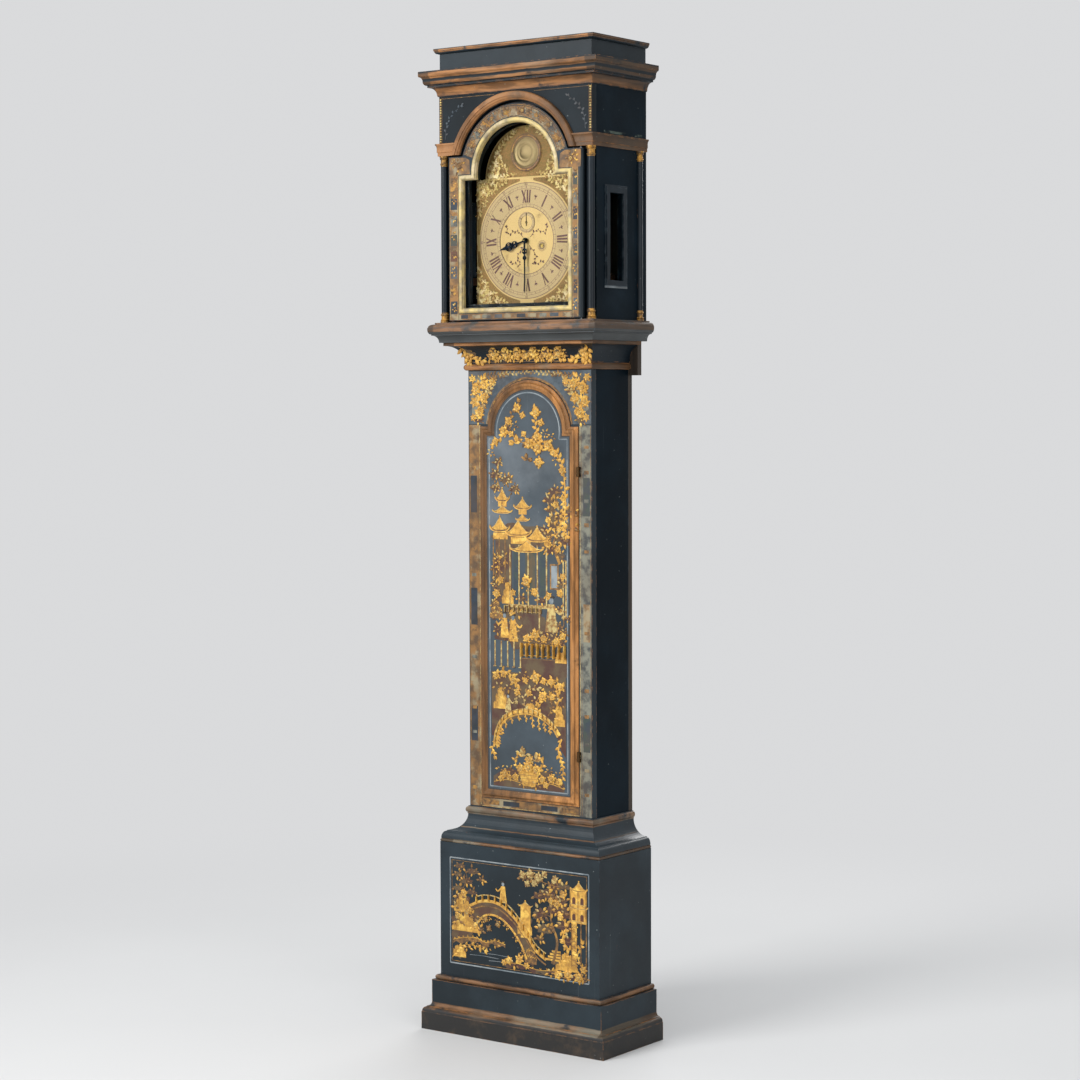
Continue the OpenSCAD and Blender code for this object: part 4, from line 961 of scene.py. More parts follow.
class Painting:
    """Raised chinoiserie work on one face, with plain traditional motifs.

    Attributes:
        name: Start of the pieces' names.
        body: The CAD body it rides.
        ground: The face's y in metres, or a function that gives it at a place.
    """

    def __init__(self, name: str, body: str, ground: Ground, seed: int) -> None:
        """Starts an empty painting.

        Args:
            name: Start of the pieces' names.
            body: The CAD body it rides.
            ground: The face's y in metres, or a function that gives it.
            seed: Seed of its random draws.
        """
        self.name = name
        self.body = body
        self.ground = ground
        self.chance = random.Random(seed)
        self.reliefs: dict[Coat, Relief] = {}
        self.units: dict[tuple[Unit, Coat], Repeat] = {}

    def on(self, coat: Coat) -> Relief:
        """The relief that gathers the shapes of one finish."""
        return self.reliefs.setdefault(coat, Relief(self.ground))

    def unit(self, kind: Unit, coat: Coat, x: float, z: float, turn: float, length: float,
             height: float, width: float | None = None, deep: float | None = None) -> None:
        """Places one small repeated shape at a height above the face.

        Args:
            kind: The shape.
            coat: Finish.
            x, z: Its middle in millimetres.
            turn: Its direction in radians.
            length: Its length.
            height: Height above the face.
            width: Its width, or as its length.
            deep: Its depth, or as its size.
        """
        wobble = 0.12 if kind is Unit.LEAF and coat is not WORN else 0.0
        pile = self.units.setdefault((kind, coat), Repeat(kind, len(self.name), wobble))
        pile.add(x, z, turn, length, width, face(self.ground, x, z) - height * MM, deep)

    def spray(self, points: Sequence[Point], leaf: float, coat: Coat = GOLD,
              step: float = 0.4, stem: float = 3.0, height: float = 0.4) -> None:
        """A stem with leaves on both sides.

        Args:
            points: The stem's course in millimetres.
            leaf: Length of a leaf.
            coat: Finish.
            step: Distance between leaves as a share of their length.
            stem: Width of the stem at its foot.
            height: Height of the leaves above the face.
        """
        path = along(points)
        self.on(coat).stroke(path, stem, 0.7, stem * 0.4)
        gone, side = 0.0, 1
        for a, b in zip(path, path[1:]):
            gone += dist(a, b)
            if gone < leaf * step:
                continue
            gone, side = 0.0, -side
            turn = atan2(b[1] - a[1], b[0] - a[0])
            self.unit(Unit.LEAF, coat, *b, turn + side * self.chance.uniform(0.6, 1.1),
                      leaf * self.chance.uniform(0.75, 1.15), height)
        self.unit(Unit.LEAF, coat, *path[-1], turn, leaf, height)

    def cluster(self, x: float, z: float, rx: float, rz: float, leaf: float,
                coat: Coat = GOLD, back: Coat | None = None, fill: float = 1.0) -> None:
        """A pad of foliage, with a painted ground behind it if one is named.

        Args:
            x, z: Its middle in millimetres.
            rx, rz: Half its width and height.
            leaf: Length of a leaf.
            coat: Finish of the leaves.
            back: Finish behind them, or nothing.
            fill: Share of the usual number of leaves.
        """
        if back is not None:
            self.blob(x, z, rx * 0.9, rz * 0.9, back, 0.25)
        tones = {GOLD: (DULL, GOLD, PALE, GOLD, GOLD), DULL: (DULL, DULL, GOLD)}.get(coat, (coat,))
        count = max(6, int(fill * 3.4 * rx * rz / leaf ** 2))
        for i in range(count):
            r = sqrt((i + 0.5) / count)
            a = i * 2.399 + self.chance.uniform(-0.3, 0.3)
            u, v = r * rx * cos(a), r * rz * sin(a)
            self.unit(Unit.LEAF, tones[(i * 7) % len(tones)], x + u - 0.4 * leaf * cos(a),
                      z + v, a, leaf * self.chance.uniform(0.7, 1.15), 0.5 + 0.3 * (1 - r))

    def blob(self, x: float, z: float, rx: float, rz: float, coat: Coat, rise: float) -> None:
        """A lobed patch.

        Args:
            x, z: Its middle in millimetres.
            rx, rz: Half its width and height.
            coat: Finish.
            rise: Its thickness.
        """
        lobes = self.chance.randint(5, 8)
        lag = self.chance.uniform(0, 6)
        ring = [(a, 0.86 + 0.14 * sin(lobes * a + lag)) for a in round_angles(40)]
        self.on(coat).shape(
            [(x + rx * r * cos(a), z + rz * r * sin(a)) for a, r in ring], rise, min(0.8, rise))

    def flower(self, x: float, z: float, size: float, coat: Coat = GOLD, leaves: int = 4) -> None:
        """An open flower with an inner ring and a few leaves around it.

        Args:
            x, z: Its middle in millimetres.
            size: Its width.
            coat: Finish.
            leaves: Number of leaves.
        """
        lag = self.chance.uniform(0, 6)
        if coat in (GOLD, PALE):
            self.blob(x, z, size * 0.66, size * 0.62, BROWN, 0.12)
        reach = size * 0.36
        for a in (lag + turn for turn in round_angles(leaves)):
            self.unit(Unit.LEAF, coat, x + reach * cos(a), z + reach * sin(a), a,
                      reach, 0.3, size * 0.42)
        self.unit(Unit.BLOSSOM, coat, x, z, lag, size * 1.05, 0.6)
        heart = CAST if coat is CAST else PALE
        self.unit(Unit.BLOSSOM, heart, x, z, lag + 0.6, size * 0.52, 0.6 + 0.09 * size)
        self.unit(Unit.BEAD, DULL, x, z, lag, size * 0.16, 0.6 + 0.16 * size)

    def flowers(self, places: Iterable[Place], leaves: int = 4, coat: Coat = GOLD) -> None:
        """Flowers at (x, z, size) of each place."""
        for x, z, size in places:
            self.flower(x, z, size, coat, leaves)

    def clusters(self, places: Iterable[Place], leaf: float, coat: Coat = GOLD,
                 back: Coat | None = BROWN, fill: float = 1.0) -> None:
        """Pads of foliage at (x, z, half width, half height) of each place."""
        for x, z, rx, rz in places:
            self.cluster(x, z, rx, rz, leaf, coat, back, fill)

    def rock(self, x: float, z: float, wide: float, high: float, coat: Coat,
             tiers: int = 3) -> None:
        """A heap of stones: lobed tiers with gold ridges on a brown ground.

        Args:
            x, z: Its foot in millimetres.
            wide, high: Its size.
            coat: Finish.
            tiers: Number of tiers.
        """
        self.blob(x, z + high * 0.4, wide * 0.55, high * 0.55, BROWN, 0.25)
        for i in range(tiers):
            w = wide * (1 - 0.28 * i) / 2
            base = z + high * i / tiers * 0.85
            steps = 6 - i
            crest = [(x - w + 2 * w * k / (2 * steps),
                      base + high / tiers * (0.5 + (0.42 if k % 2 else 0.12)
                                             * self.chance.uniform(0.7, 1.3)
                                             + 0.3 * sin(pi * k / (2 * steps))))
                     for k in range(2 * steps + 1)]
            self.on(coat).shape(
                [(x - w, base), (x + w, base), *reversed(along(crest, 3))], 0.6 + 0.1 * i, 0.6)
            for k in range(1, 2 * steps, 2):
                cx, cz = crest[k]
                self.on(INK).stroke(along([(cx, cz), (cx + 2, cz - high / tiers * 0.5)], 3), 0.8,
                                    0.85 + 0.1 * i, 0.4, 0.5)
            self.on(GOLD).stroke(along(crest, 3), 1.5, 1.1 + 0.1 * i)

    def bank(self, points: Sequence[Point], deep: float, coat: Coat = BROWN) -> None:
        """A strip of ground under a wavy line with tufts of grass along it.

        Args:
            points: The line's course.
            deep: Height of the ground under it.
            coat: Finish of the ground.
        """
        path = along(points)
        low = [(x, z - deep * (0.7 + 0.3 * sin(x * 0.17))) for x, z in path]
        self.on(coat).shape([*low, *reversed(path)], 0.3, 0.3)
        self.on(GOLD).stroke(path, 1.8, 0.9)
        for x, z in path[2::3]:
            for lean in (-0.5, 0.1, 0.6):
                self.unit(
                    Unit.LEAF, GOLD, x, z, pi / 2 + lean, self.chance.uniform(4.0, 7.5), 0.4, 3.0)

    def roof(self, x: float, z: float, wide: float, high: float) -> None:
        """A roof with turned-up eaves, a ridge, rows of tiles, a painted highlight along its top
        and painted shade above its eaves.

        Args:
            x, z: Middle of its lower edge.
            wide, high: Its size.
        """
        def eave(t: float) -> float:
            """Height of the lower edge."""
            return z + 0.34 * high * abs(t) ** 4

        def slope(t: float) -> float:
            """Height of the upper edge."""
            return z + high * (1 - abs(t)) ** 1.5 + 0.42 * high * abs(t) ** 5 + 0.1 * high

        steps = [i / 10 - 1 for i in range(21)]
        edge = [(x + t * wide / 2, eave(t)) for t in steps]
        gold = self.on(GOLD)
        gold.shape(edge + [(x + t * wide / 2, slope(t)) for t in reversed(steps)], 0.8, 0.5)
        for i in range(1, 8):
            t = i / 4 - 1
            self.on(INK).stroke(
                [(x + t * wide * 0.46, eave(t) + 0.8),
                 (x + t * wide * 0.2, slope(t * 0.45) - high * 0.1)], 0.7, 0.95, 0.4, 0.6)
        gold.stroke(edge, 1.4, 1.2)
        # Painted highlight: pale strokes along the roof's upper edges.
        for way in (-1, 1):
            hip = [(x + way * t * wide / 2, slope(t) - 0.6) for t in (i / 8 for i in range(9))]
            self.on(PALE).stroke(hip, 1.8, 1.15, 1.2, 0.5)
        # Painted shade: a dull band just above the eaves.
        self.on(DULL).shape(
            [(x + t * wide * 0.46, eave(t) + high * 0.04) for t in steps]
            + [(x + t * wide * 0.46, eave(t) + high * 0.16) for t in reversed(steps)], 0.95, 0.3)
        self.unit(Unit.BEAD, GOLD, x, slope(0) + 1.2, 0, 4.5, 0.5)

    def posts(self, x0: float, x1: float, z0: float, z1: float, count: int,
              wide: float, coat: Coat = PALE) -> None:
        """Evenly spaced upright posts with small feet.

        Args:
            x0, x1: First and last post.
            z0, z1: Their feet and tops.
            count: Their number.
            wide: Their width.
            coat: Finish.
        """
        for i in range(count):
            x = x0 + (x1 - x0) * i / max(1, count - 1)
            self.on(coat).shape(corners(x - wide / 2, x + wide / 2, z0, z1), 0.8, 0.3)
            self.unit(Unit.BAR, coat, x, z0 + 1, 0, wide * 2.0, 0.3, 2.2)

    def fence(self, x0: float, x1: float, z: float, high: float, count: int,
              coat: Coat = GOLD) -> None:
        """A railing with two rails, uprights and crossed laths.

        Args:
            x0, x1: Its ends.
            z: Its foot.
            high: Its height.
            count: Number of panels.
            coat: Finish.
        """
        for level in (0.12, 0.92):
            self.on(coat).stroke([(x0, z + high * level), (x1, z + high * level)], 1.6, 1.0)
        pitch = (x1 - x0) / count
        for i in range(count + 1):
            x = x0 + pitch * i
            self.unit(Unit.BAR, coat, x, z + high / 2, pi / 2, high, 0.3, 1.4)
            for start, end in ((0.15, 0.9), (0.9, 0.15)) if i < count else ():
                self.on(DULL).stroke(
                    [(x, z + high * start), (x + pitch, z + high * end)], 0.9, 0.6)

    def figure(self, x: float, z: float, high: float, robe: Coat, lean: float) -> None:
        """A small robed figure with a plain head and a round hat.

        Args:
            x, z: Its foot in millimetres.
            high: Its height.
            robe: Finish of the robe.
            lean: Side and reach of the sleeve.
        """
        w = high * 0.2

        def at(u: float, v: float) -> Point:
            """A place by shares of the robe's half width and of the height."""
            return (x + w * u, z + high * v)

        self.on(robe).shape([at(-1, 0), at(1.1, 0), at(0.75, 0.4), at(0.55, 0.74),
                             at(-0.55, 0.74), at(-0.8, 0.35)], 1.0, 0.7)
        self.on(robe).stroke(along([at(lean * u, v) for u, v in ((0.3, 0.68), (1.4, 0.5),
                                                                 (2.0, 0.6))], 4),
                             high * 0.1, 1.3, high * 0.06)
        for shift in (-0.4, 0.1, 0.55):
            self.on(INK).stroke([at(shift, 0.05), at(shift * 0.6, 0.5)], 0.8, 1.15, 0.4, 0.9)
        self.on(GREY).shape(oval(x, z + high * 0.83, high * 0.075, high * 0.095), 1.2, 0.5)
        self.on(INK).shape(oval(x, z + high * 0.93, high * 0.11, high * 0.035), 1.4, 0.4)

    def bird(self, x: float, z: float, size: float, way: int, coat: Coat = GOLD) -> None:
        """A bird with a raised wing and a long tail.

        Args:
            x, z: Its middle in millimetres.
            size: Its length.
            way: 1 to look right and -1 to look left.
            coat: Finish.
        """
        def at(u: float, v: float) -> Point:
            """A place by shares of the bird's size."""
            return (x + way * size * u, z + size * v)

        self.on(coat).shape([at(*p) for p in (
            (-0.5, -0.08), (-0.2, -0.2), (0.1, -0.2), (0.32, -0.02), (0.44, 0.12), (0.55, 0.14),
            (0.44, 0.22), (0.3, 0.24), (0.16, 0.12), (-0.1, 0.06))], 0.9, 0.4)
        for i in range(4):
            self.unit(Unit.LEAF, coat, *at(-0.05, 0.0), pi / 2 + way * (0.2 + 0.25 * i),
                      size * (0.62 - 0.07 * i), 0.9)
        for i in range(3):
            a = pi + 0.25 * (i - 1) if way > 0 else 0.25 * (i - 1)
            self.unit(Unit.LEAF, coat, *at(-0.35, -0.08), a, size * 0.6, 0.4)

    def tree(self, x: float, z: float, high: float, lean: float, leaf: float, pads: int) -> None:
        """A bent trunk with pads of foliage to both sides.

        Args:
            x, z: Its foot in millimetres.
            high: Its height.
            lean: Its bend, to the right above 0.
            leaf: Length of a leaf.
            pads: Number of pads.
        """
        trunk = along([(x + lean * high * u, z + high * v)
                       for u, v in ((0.0, 0.0), (0.12, 0.3), (-0.05, 0.62), (0.1, 1.0))])
        self.on(DULL).stroke(trunk, high * 0.05 + 1.5, 0.9, 1.6)
        for i in range(pads):
            t = 0.35 + 0.65 * i / max(1, pads - 1)
            px, pz = trunk[int(t * (len(trunk) - 1))]
            side = (-1) ** i
            reach = high * (0.27 - 0.14 * t)
            self.on(DULL).stroke(along([(px, pz), (px + side * reach * 0.5, pz + 3),
                                        (px + side * reach, pz + 4)], 4), 2.2, 0.8, 0.9)
            self.cluster(px + side * reach * (0.9 if i < pads - 1 else 0.0), pz + 5,
                         high * 0.13 + 3, high * 0.07 + 2, leaf, back=BROWN)

    def line(self, points: Sequence[Point], wide: float, coat: Coat) -> None:
        """A painted line."""
        self.on(coat).stroke(list(points), wide, 0.35, base=-0.1)

    def strip(self, x0: float, x1: float, z0: float, z1: float, coat: Coat,
              rise: float = 0.2) -> None:
        """A painted rectangle."""
        self.on(coat).shape(corners(x0, x1, z0, z1), rise, 0.15)

    def finish(self) -> None:
        """Makes one piece for each finish and shape and rides them on the body."""
        for coat, relief in self.reliefs.items():
            name = f"{self.name}_{coat.name.lower()}"
            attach(add_object(name, closed(relief.bm, name), finish_of(coat)), self.body)
        for (kind, coat), pile in self.units.items():
            name = f"{self.name}_{coat.name.lower()}_{kind.value}s"
            piece = link_object(name, pile.mesh(name, finish_of(coat)))
            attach(piece, self.body)
            LOG.info("%s: %d units, %d faces", name, len(pile.places), len(piece.data.polygons))


@dataclass
class DoorPainting:
    """The tall scene on the trunk door: garland, pavilions, terrace, bridge and basket.

    Attributes:
        half: Half width of the door's field in millimetres.
        low: Its lower edge.
        shoulder: Where its sides turn in to the arch.
        centre: Height of the arch's centre.
        radius: Radius of the field's arch.
        front: y of the field in metres.
    """

    half: float = 126.0
    low: float = 606.0
    shoulder: float = 1480.0
    centre: float = 1490.0
    radius: float = 103.0
    front: float = -0.044

    def border(self, p: Painting) -> None:
        """Grey-blue line inside the lip.

        Args:
            p: The painting.
        """
        for inset, wide, coat in ((8.0, 3.4, GREY), (1.2, 2.0, INK)):
            half, low = self.half - inset, self.low + inset
            radius, shoulder = self.radius - inset, self.shoulder - inset
            start = asin((shoulder - self.centre) / radius)
            inner = radius * cos(start)
            p.line([(-half, low), (half, low)], wide, coat)
            for side in (-1, 1):
                p.line([(side * half, low), (side * half, shoulder)], wide, coat)
                p.line([(side * half, shoulder), (side * inner, shoulder)], wide, coat)
            sweep = pi - 2 * start
            p.line(arc(0.0, self.centre, radius, start, sweep, 48), wide, coat)

    def garland(self, p: Painting) -> None:
        """Flowering branches with birds under the arch.

        Args:
            p: The painting.
        """
        p.spray([(108, 1250), (112, 1340), (100, 1420), (60, 1452), (8, 1462)], 15, stem=5.0,
                step=0.42)
        p.spray([(60, 1452), (34, 1482), (22, 1512), (20, 1545)], 14, step=0.45)
        p.spray([(8, 1462), (-30, 1468), (-58, 1500), (-50, 1532), (-28, 1560)], 13, DULL,
                stem=2.6, step=0.45)
        p.spray([(-50, 1490), (-78, 1478), (-104, 1456)], 13, stem=2.4, step=0.45)
        p.spray([(112, 1340), (104, 1290), (113, 1240)], 13, stem=3.4, step=0.45)
        p.flowers((
            (24, 1536, 25), (40, 1512, 17), (-32, 1548, 21), (-16, 1530, 15), (-58, 1516, 20),
            (-72, 1492, 23), (-50, 1484, 15), (-98, 1466, 18), (28, 1478, 23), (4, 1462, 26),
            (32, 1452, 30), (62, 1458, 24), (78, 1440, 18), (34, 1416, 24), (104, 1396, 18),
            (-12, 1484, 14), (105, 1330, 15)))
        p.bird(-30, 1466, 30, 1)
        p.bird(-8, 1424, 24, -1, DULL)
        p.clusters([(x, z, 12, 9) for x, z in (
            (70, 1478), (52, 1486), (-112, 1440), (-40, 1505), (86, 1420))], 8, back=None)

    def grove(self, p: Painting) -> None:
        """Dull trees at the left and a gilt tree at the right.

        Args:
            p: The painting.
        """
        for x, z, rx, rz in ((-92, 1414, 15, 11), (-98, 1384, 20, 12), (-66, 1372, 24, 12),
                             (-40, 1350, 18, 11), (-100, 1352, 14, 12)):
            p.cluster(x, z, rx, rz, 9, DULL, BROWN)
            p.cluster(x + 3, z + 3, rx * 0.7, rz * 0.6, 8, PALE)
        p.on(DULL).stroke(along([(-84, 1290), (-78, 1330), (-92, 1370), (-88, 1410)]), 5, 0.9, 1.6)
        p.tree(96, 1170, 170, -0.9, 11, 7)
        p.clusters(((70, 1302, 18, 13), (98, 1288, 18, 16), (78, 1262, 26, 15), (56, 1236, 20, 15),
                    (98, 1232, 18, 18), (70, 1206, 28, 14), (100, 1190, 13, 14)), 10)
        p.flowers((
            (84, 1314, 16), (62, 1276, 15), (94, 1256, 14), (62, 1218, 18), (90, 1206, 15)), 5)

    def pavilions(self, p: Painting) -> None:
        """Roofs over tall posts, with a tower between the trees.

        Args:
            p: The painting.
        """
        p.blob(-20, 1234, 94, 36, BROWN, 0.2)
        for x, z, wide, high in (
                (-16, 1300, 56, 26), (-78, 1318, 46, 30), (-16, 1272, 44, 16), (-78, 1290, 62, 18),
                (-86, 1244, 64, 34), (-30, 1234, 84, 36), (28, 1222, 76, 34), (-4, 1196, 104, 26)):
            p.roof(x, z, wide, high)
        for x, z, wide in ((-78, 1306, 26), (-16, 1288, 24), (-84, 1226, 44), (-22, 1216, 60)):
            p.strip(x - wide / 2, x + wide / 2, z, z + 16, GOLD, 0.5)
            for post in (x - wide / 2 + wide * (i + 0.5) / 4 for i in range(4)):
                p.line([(post, z + 1), (post, z + 15)], 1.6, INK)
        p.strip(-100, -50, 1072, 1226, BROWN)
        for x0, x1, coat in ((-44, -30, SAGE), (-8, 22, OLIVE), (36, 52, SAGE)):
            p.strip(x0, x1, 1090, 1200, coat, 0.12)
        p.posts(-55, 56, 1066, 1214, 5, 4.2)
        p.posts(-106, -70, 1120, 1230, 3, 3.2, DULL)
        p.posts(106, 114, 1040, 1180, 2, 4.0)
        p.strip(66, 92, 1108, 1170, DULL, 0.3)
        p.strip(70, 88, 1112, 1166, GREY, 0.5)
        p.strip(-60, 62, 1060, 1068, PALE, 0.8)
        p.flowers(((-84, 1126, 17), (-96, 1092, 19), (20, 1100, 18), (62, 1092, 16),
                   (-46, 1096, 14), (96, 1100, 17), (104, 1140, 15)), 5)
        p.clusters(((-100, 1110, 12, 20), (98, 1120, 13, 18), (-20, 1082, 18, 9),
                    (40, 1080, 20, 9), (-72, 1180, 12, 14)), 9)
        p.cluster(-96, 1160, 17, 38, 9, DULL, BROWN)
        p.cluster(-92, 1172, 10, 22, 8)
        p.flower(-4, 1126, 27)
        p.cluster(-4, 1110, 17, 8, 8)
        p.rock(-62, 1068, 36, 56, GOLD)
        p.rock(-98, 1030, 40, 46, DULL)

    def terrace(self, p: Painting) -> None:
        """Terrace with figures, a railing and a low wall.

        Args:
            p: The painting.
        """
        p.strip(-68, 40, 1030, 1062, BROWN)
        p.fence(-70, 40, 1048, 17, 8, PALE)
        p.blob(0, 1000, 116, 46, BROWN, 0.18)
        p.figure(70, 1004, 92, PALE, 1.0)
        p.posts(34, 34, 1000, 1062, 1, 4.0)
        for x, z, high, lean in ((-72, 984, 66, -1.0), (-46, 976, 70, 1.0)):
            p.figure(x, z, high, GOLD, lean)
        p.clusters((
            (-86, 1040, 15, 12), (-58, 1002, 32, 26), (-30, 1046, 13, 9), (-96, 1004, 12, 14),
            (26, 984, 30, 20), (80, 990, 26, 12), (-106, 1066, 10, 12)), 9, fill=0.8)
        p.posts(-102, -24, 912, 976, 5, 4.0)
        p.fence(-18, 112, 940, 34, 8)
        p.flowers(((-4, 986, 17), (22, 996, 21), (48, 986, 18), (86, 982, 19), (104, 996, 16),
                   (-50, 1046, 14)), 5)
        p.clusters([(x, 980, rx, 11) for x, rx in ((4, 26), (50, 30), (94, 20))], 9)
        p.tree(104, 980, 76, -1.0, 8, 4)
        p.strip(-22, 116, 896, 936, BROWN)
        p.line([(-22, 936), (116, 936)], 2.6, DULL)
        p.rock(98, 930, 34, 26, GOLD, 2)

    def bridge(self, p: Painting) -> None:
        """Brown bank with an arched bridge, blossoms and stones.

        Args:
            p: The painting.
        """
        p.on(BROWN).shape(
            [(-113, 740)]
            + along([(-96, 740), (-70, 772), (-20, 792), (30, 790), (78, 762), (96, 720)], 6)
            + [(113, 700), (113, 900), (-113, 900)], 0.2, 0.2)
        p.spray([(-110, 884), (-80, 902), (-50, 892), (-34, 872)], 15)
        p.spray([(108, 866), (80, 888), (48, 884)], 15)
        p.spray([(-34, 872), (-28, 850), (-36, 832)], 12, PALE, stem=2.4, step=0.5)
        p.spray([(34, 796), (28, 822), (46, 846), (72, 850)], 13)
        p.spray([(-4, 806), (-14, 838), (4, 862), (30, 866)], 12, PALE, stem=2.4, step=0.45)
        p.spray([(60, 800), (72, 824), (62, 846)], 11, DULL, stem=2.4, step=0.5)
        p.flowers((
            (22, 892, 26), (44, 846, 22), (-46, 880, 19), (-98, 890, 20), (70, 882, 19),
            (98, 872, 20), (-34, 852, 17), (2, 852, 17), (72, 846, 16), (-76, 894, 16),
            (-8, 882, 15), (46, 884, 15)))
        p.clusters(((-92, 862, 16, 12), (24, 834, 15, 10), (62, 868, 20, 10), (-18, 896, 20, 8),
                    (96, 836, 12, 16), (-60, 862, 14, 9)), 9, back=None, fill=0.8)
        p.rock(-84, 808, 46, 56, GOLD)
        p.figure(-62, 800, 48, PALE, 1.0)
        p.rock(6, 800, 34, 26, GOLD, 2)
        p.spray([(102, 780), (84, 810), (92, 846), (84, 868)], 13, stem=7.0, step=0.5)
        p.rock(94, 776, 32, 50, GOLD)
        deck = along(
            [(-102, 716), (-96, 752), (-72, 786), (-20, 804), (30, 800), (70, 778), (92, 752)], 10)
        p.on(GOLD).stroke(deck, 15, 1.3)
        p.on(INK).stroke([(x, z - 2.5) for x, z in deck], 1.2, 1.5, base=1.0)
        p.on(PALE).stroke([(x, z + 8) for x, z in deck[6:-4]], 2.2, 1.5)
        for x, z in deck[4:-3:3]:
            p.unit(Unit.BAR, PALE, x, z + 3, pi / 2, 12, 0.8, 1.8)
        for (x, z), length in zip(deck[8:-6:4], (22, 30, 18, 12, 10, 8, 12, 24, 26, 20, 16)):
            p.spray([(x, z - 5), (x + 2, z - 5 - length)], 9, stem=4.0)
        p.spray([(-100, 730), (-112, 706), (-104, 690)], 12, stem=5.0)
        p.spray([(100, 746), (90, 716), (104, 676), (100, 644)], 13, stem=6.0, step=0.36)

    def basket(self, p: Painting) -> None:
        """Basket of flowers with two birds over a grassy bank.

        Args:
            p: The painting.
        """
        p.on(BROWN).shape([(-108, 616), (108, 616)] + list(reversed(along(
            [(-108, 640), (-60, 662), (0, 650), (56, 664), (108, 636)], 6))), 0.2, 0.2)
        p.bank([(-106, 626), (-60, 634), (0, 626), (60, 634), (108, 624)], 8)
        p.on(GOLD).shape([(-18, 622), (20, 622), (34, 660), (-32, 660)], 1.3, 1.0)
        for i in range(5):
            u = i / 4 - 0.5
            p.on(INK).stroke([(1 + u * 36, 623), (1 + u * 62, 659)], 1.0, 1.5, base=1.0)
        for z in (632, 641, 650):
            p.on(DULL).stroke([(-26, z), (27, z)], 1.6, 1.6, base=0.9)
        p.spray([(-30, 658), (-42, 684), (-26, 702)], 12)
        p.spray([(32, 658), (44, 682), (30, 700)], 12)
        p.flowers((
            (0, 668, 28), (-24, 664, 22), (24, 664, 24), (2, 688, 22), (-40, 642, 17),
            (42, 642, 18), (-72, 648, 19), (-84, 636, 15), (-60, 640, 15), (70, 646, 20),
            (90, 640, 16), (52, 630, 15)), 5)
        p.bird(-22, 700, 34, -1, PALE)
        p.bird(28, 690, 30, 1, PALE)
        p.clusters([(x, z, 14, 9) for x, z in (
            (-86, 658), (-60, 662), (64, 664), (88, 656), (-16, 628), (22, 628))], 9, back=None)

    def build(self) -> None:
        """Paints the door."""
        p = Painting("door", "trunk_door", self.front, 11)
        for paint in (self.border, self.garland, self.grove, self.pavilions, self.terrace,
                      self.bridge, self.basket):
            paint(p)
        p.finish()


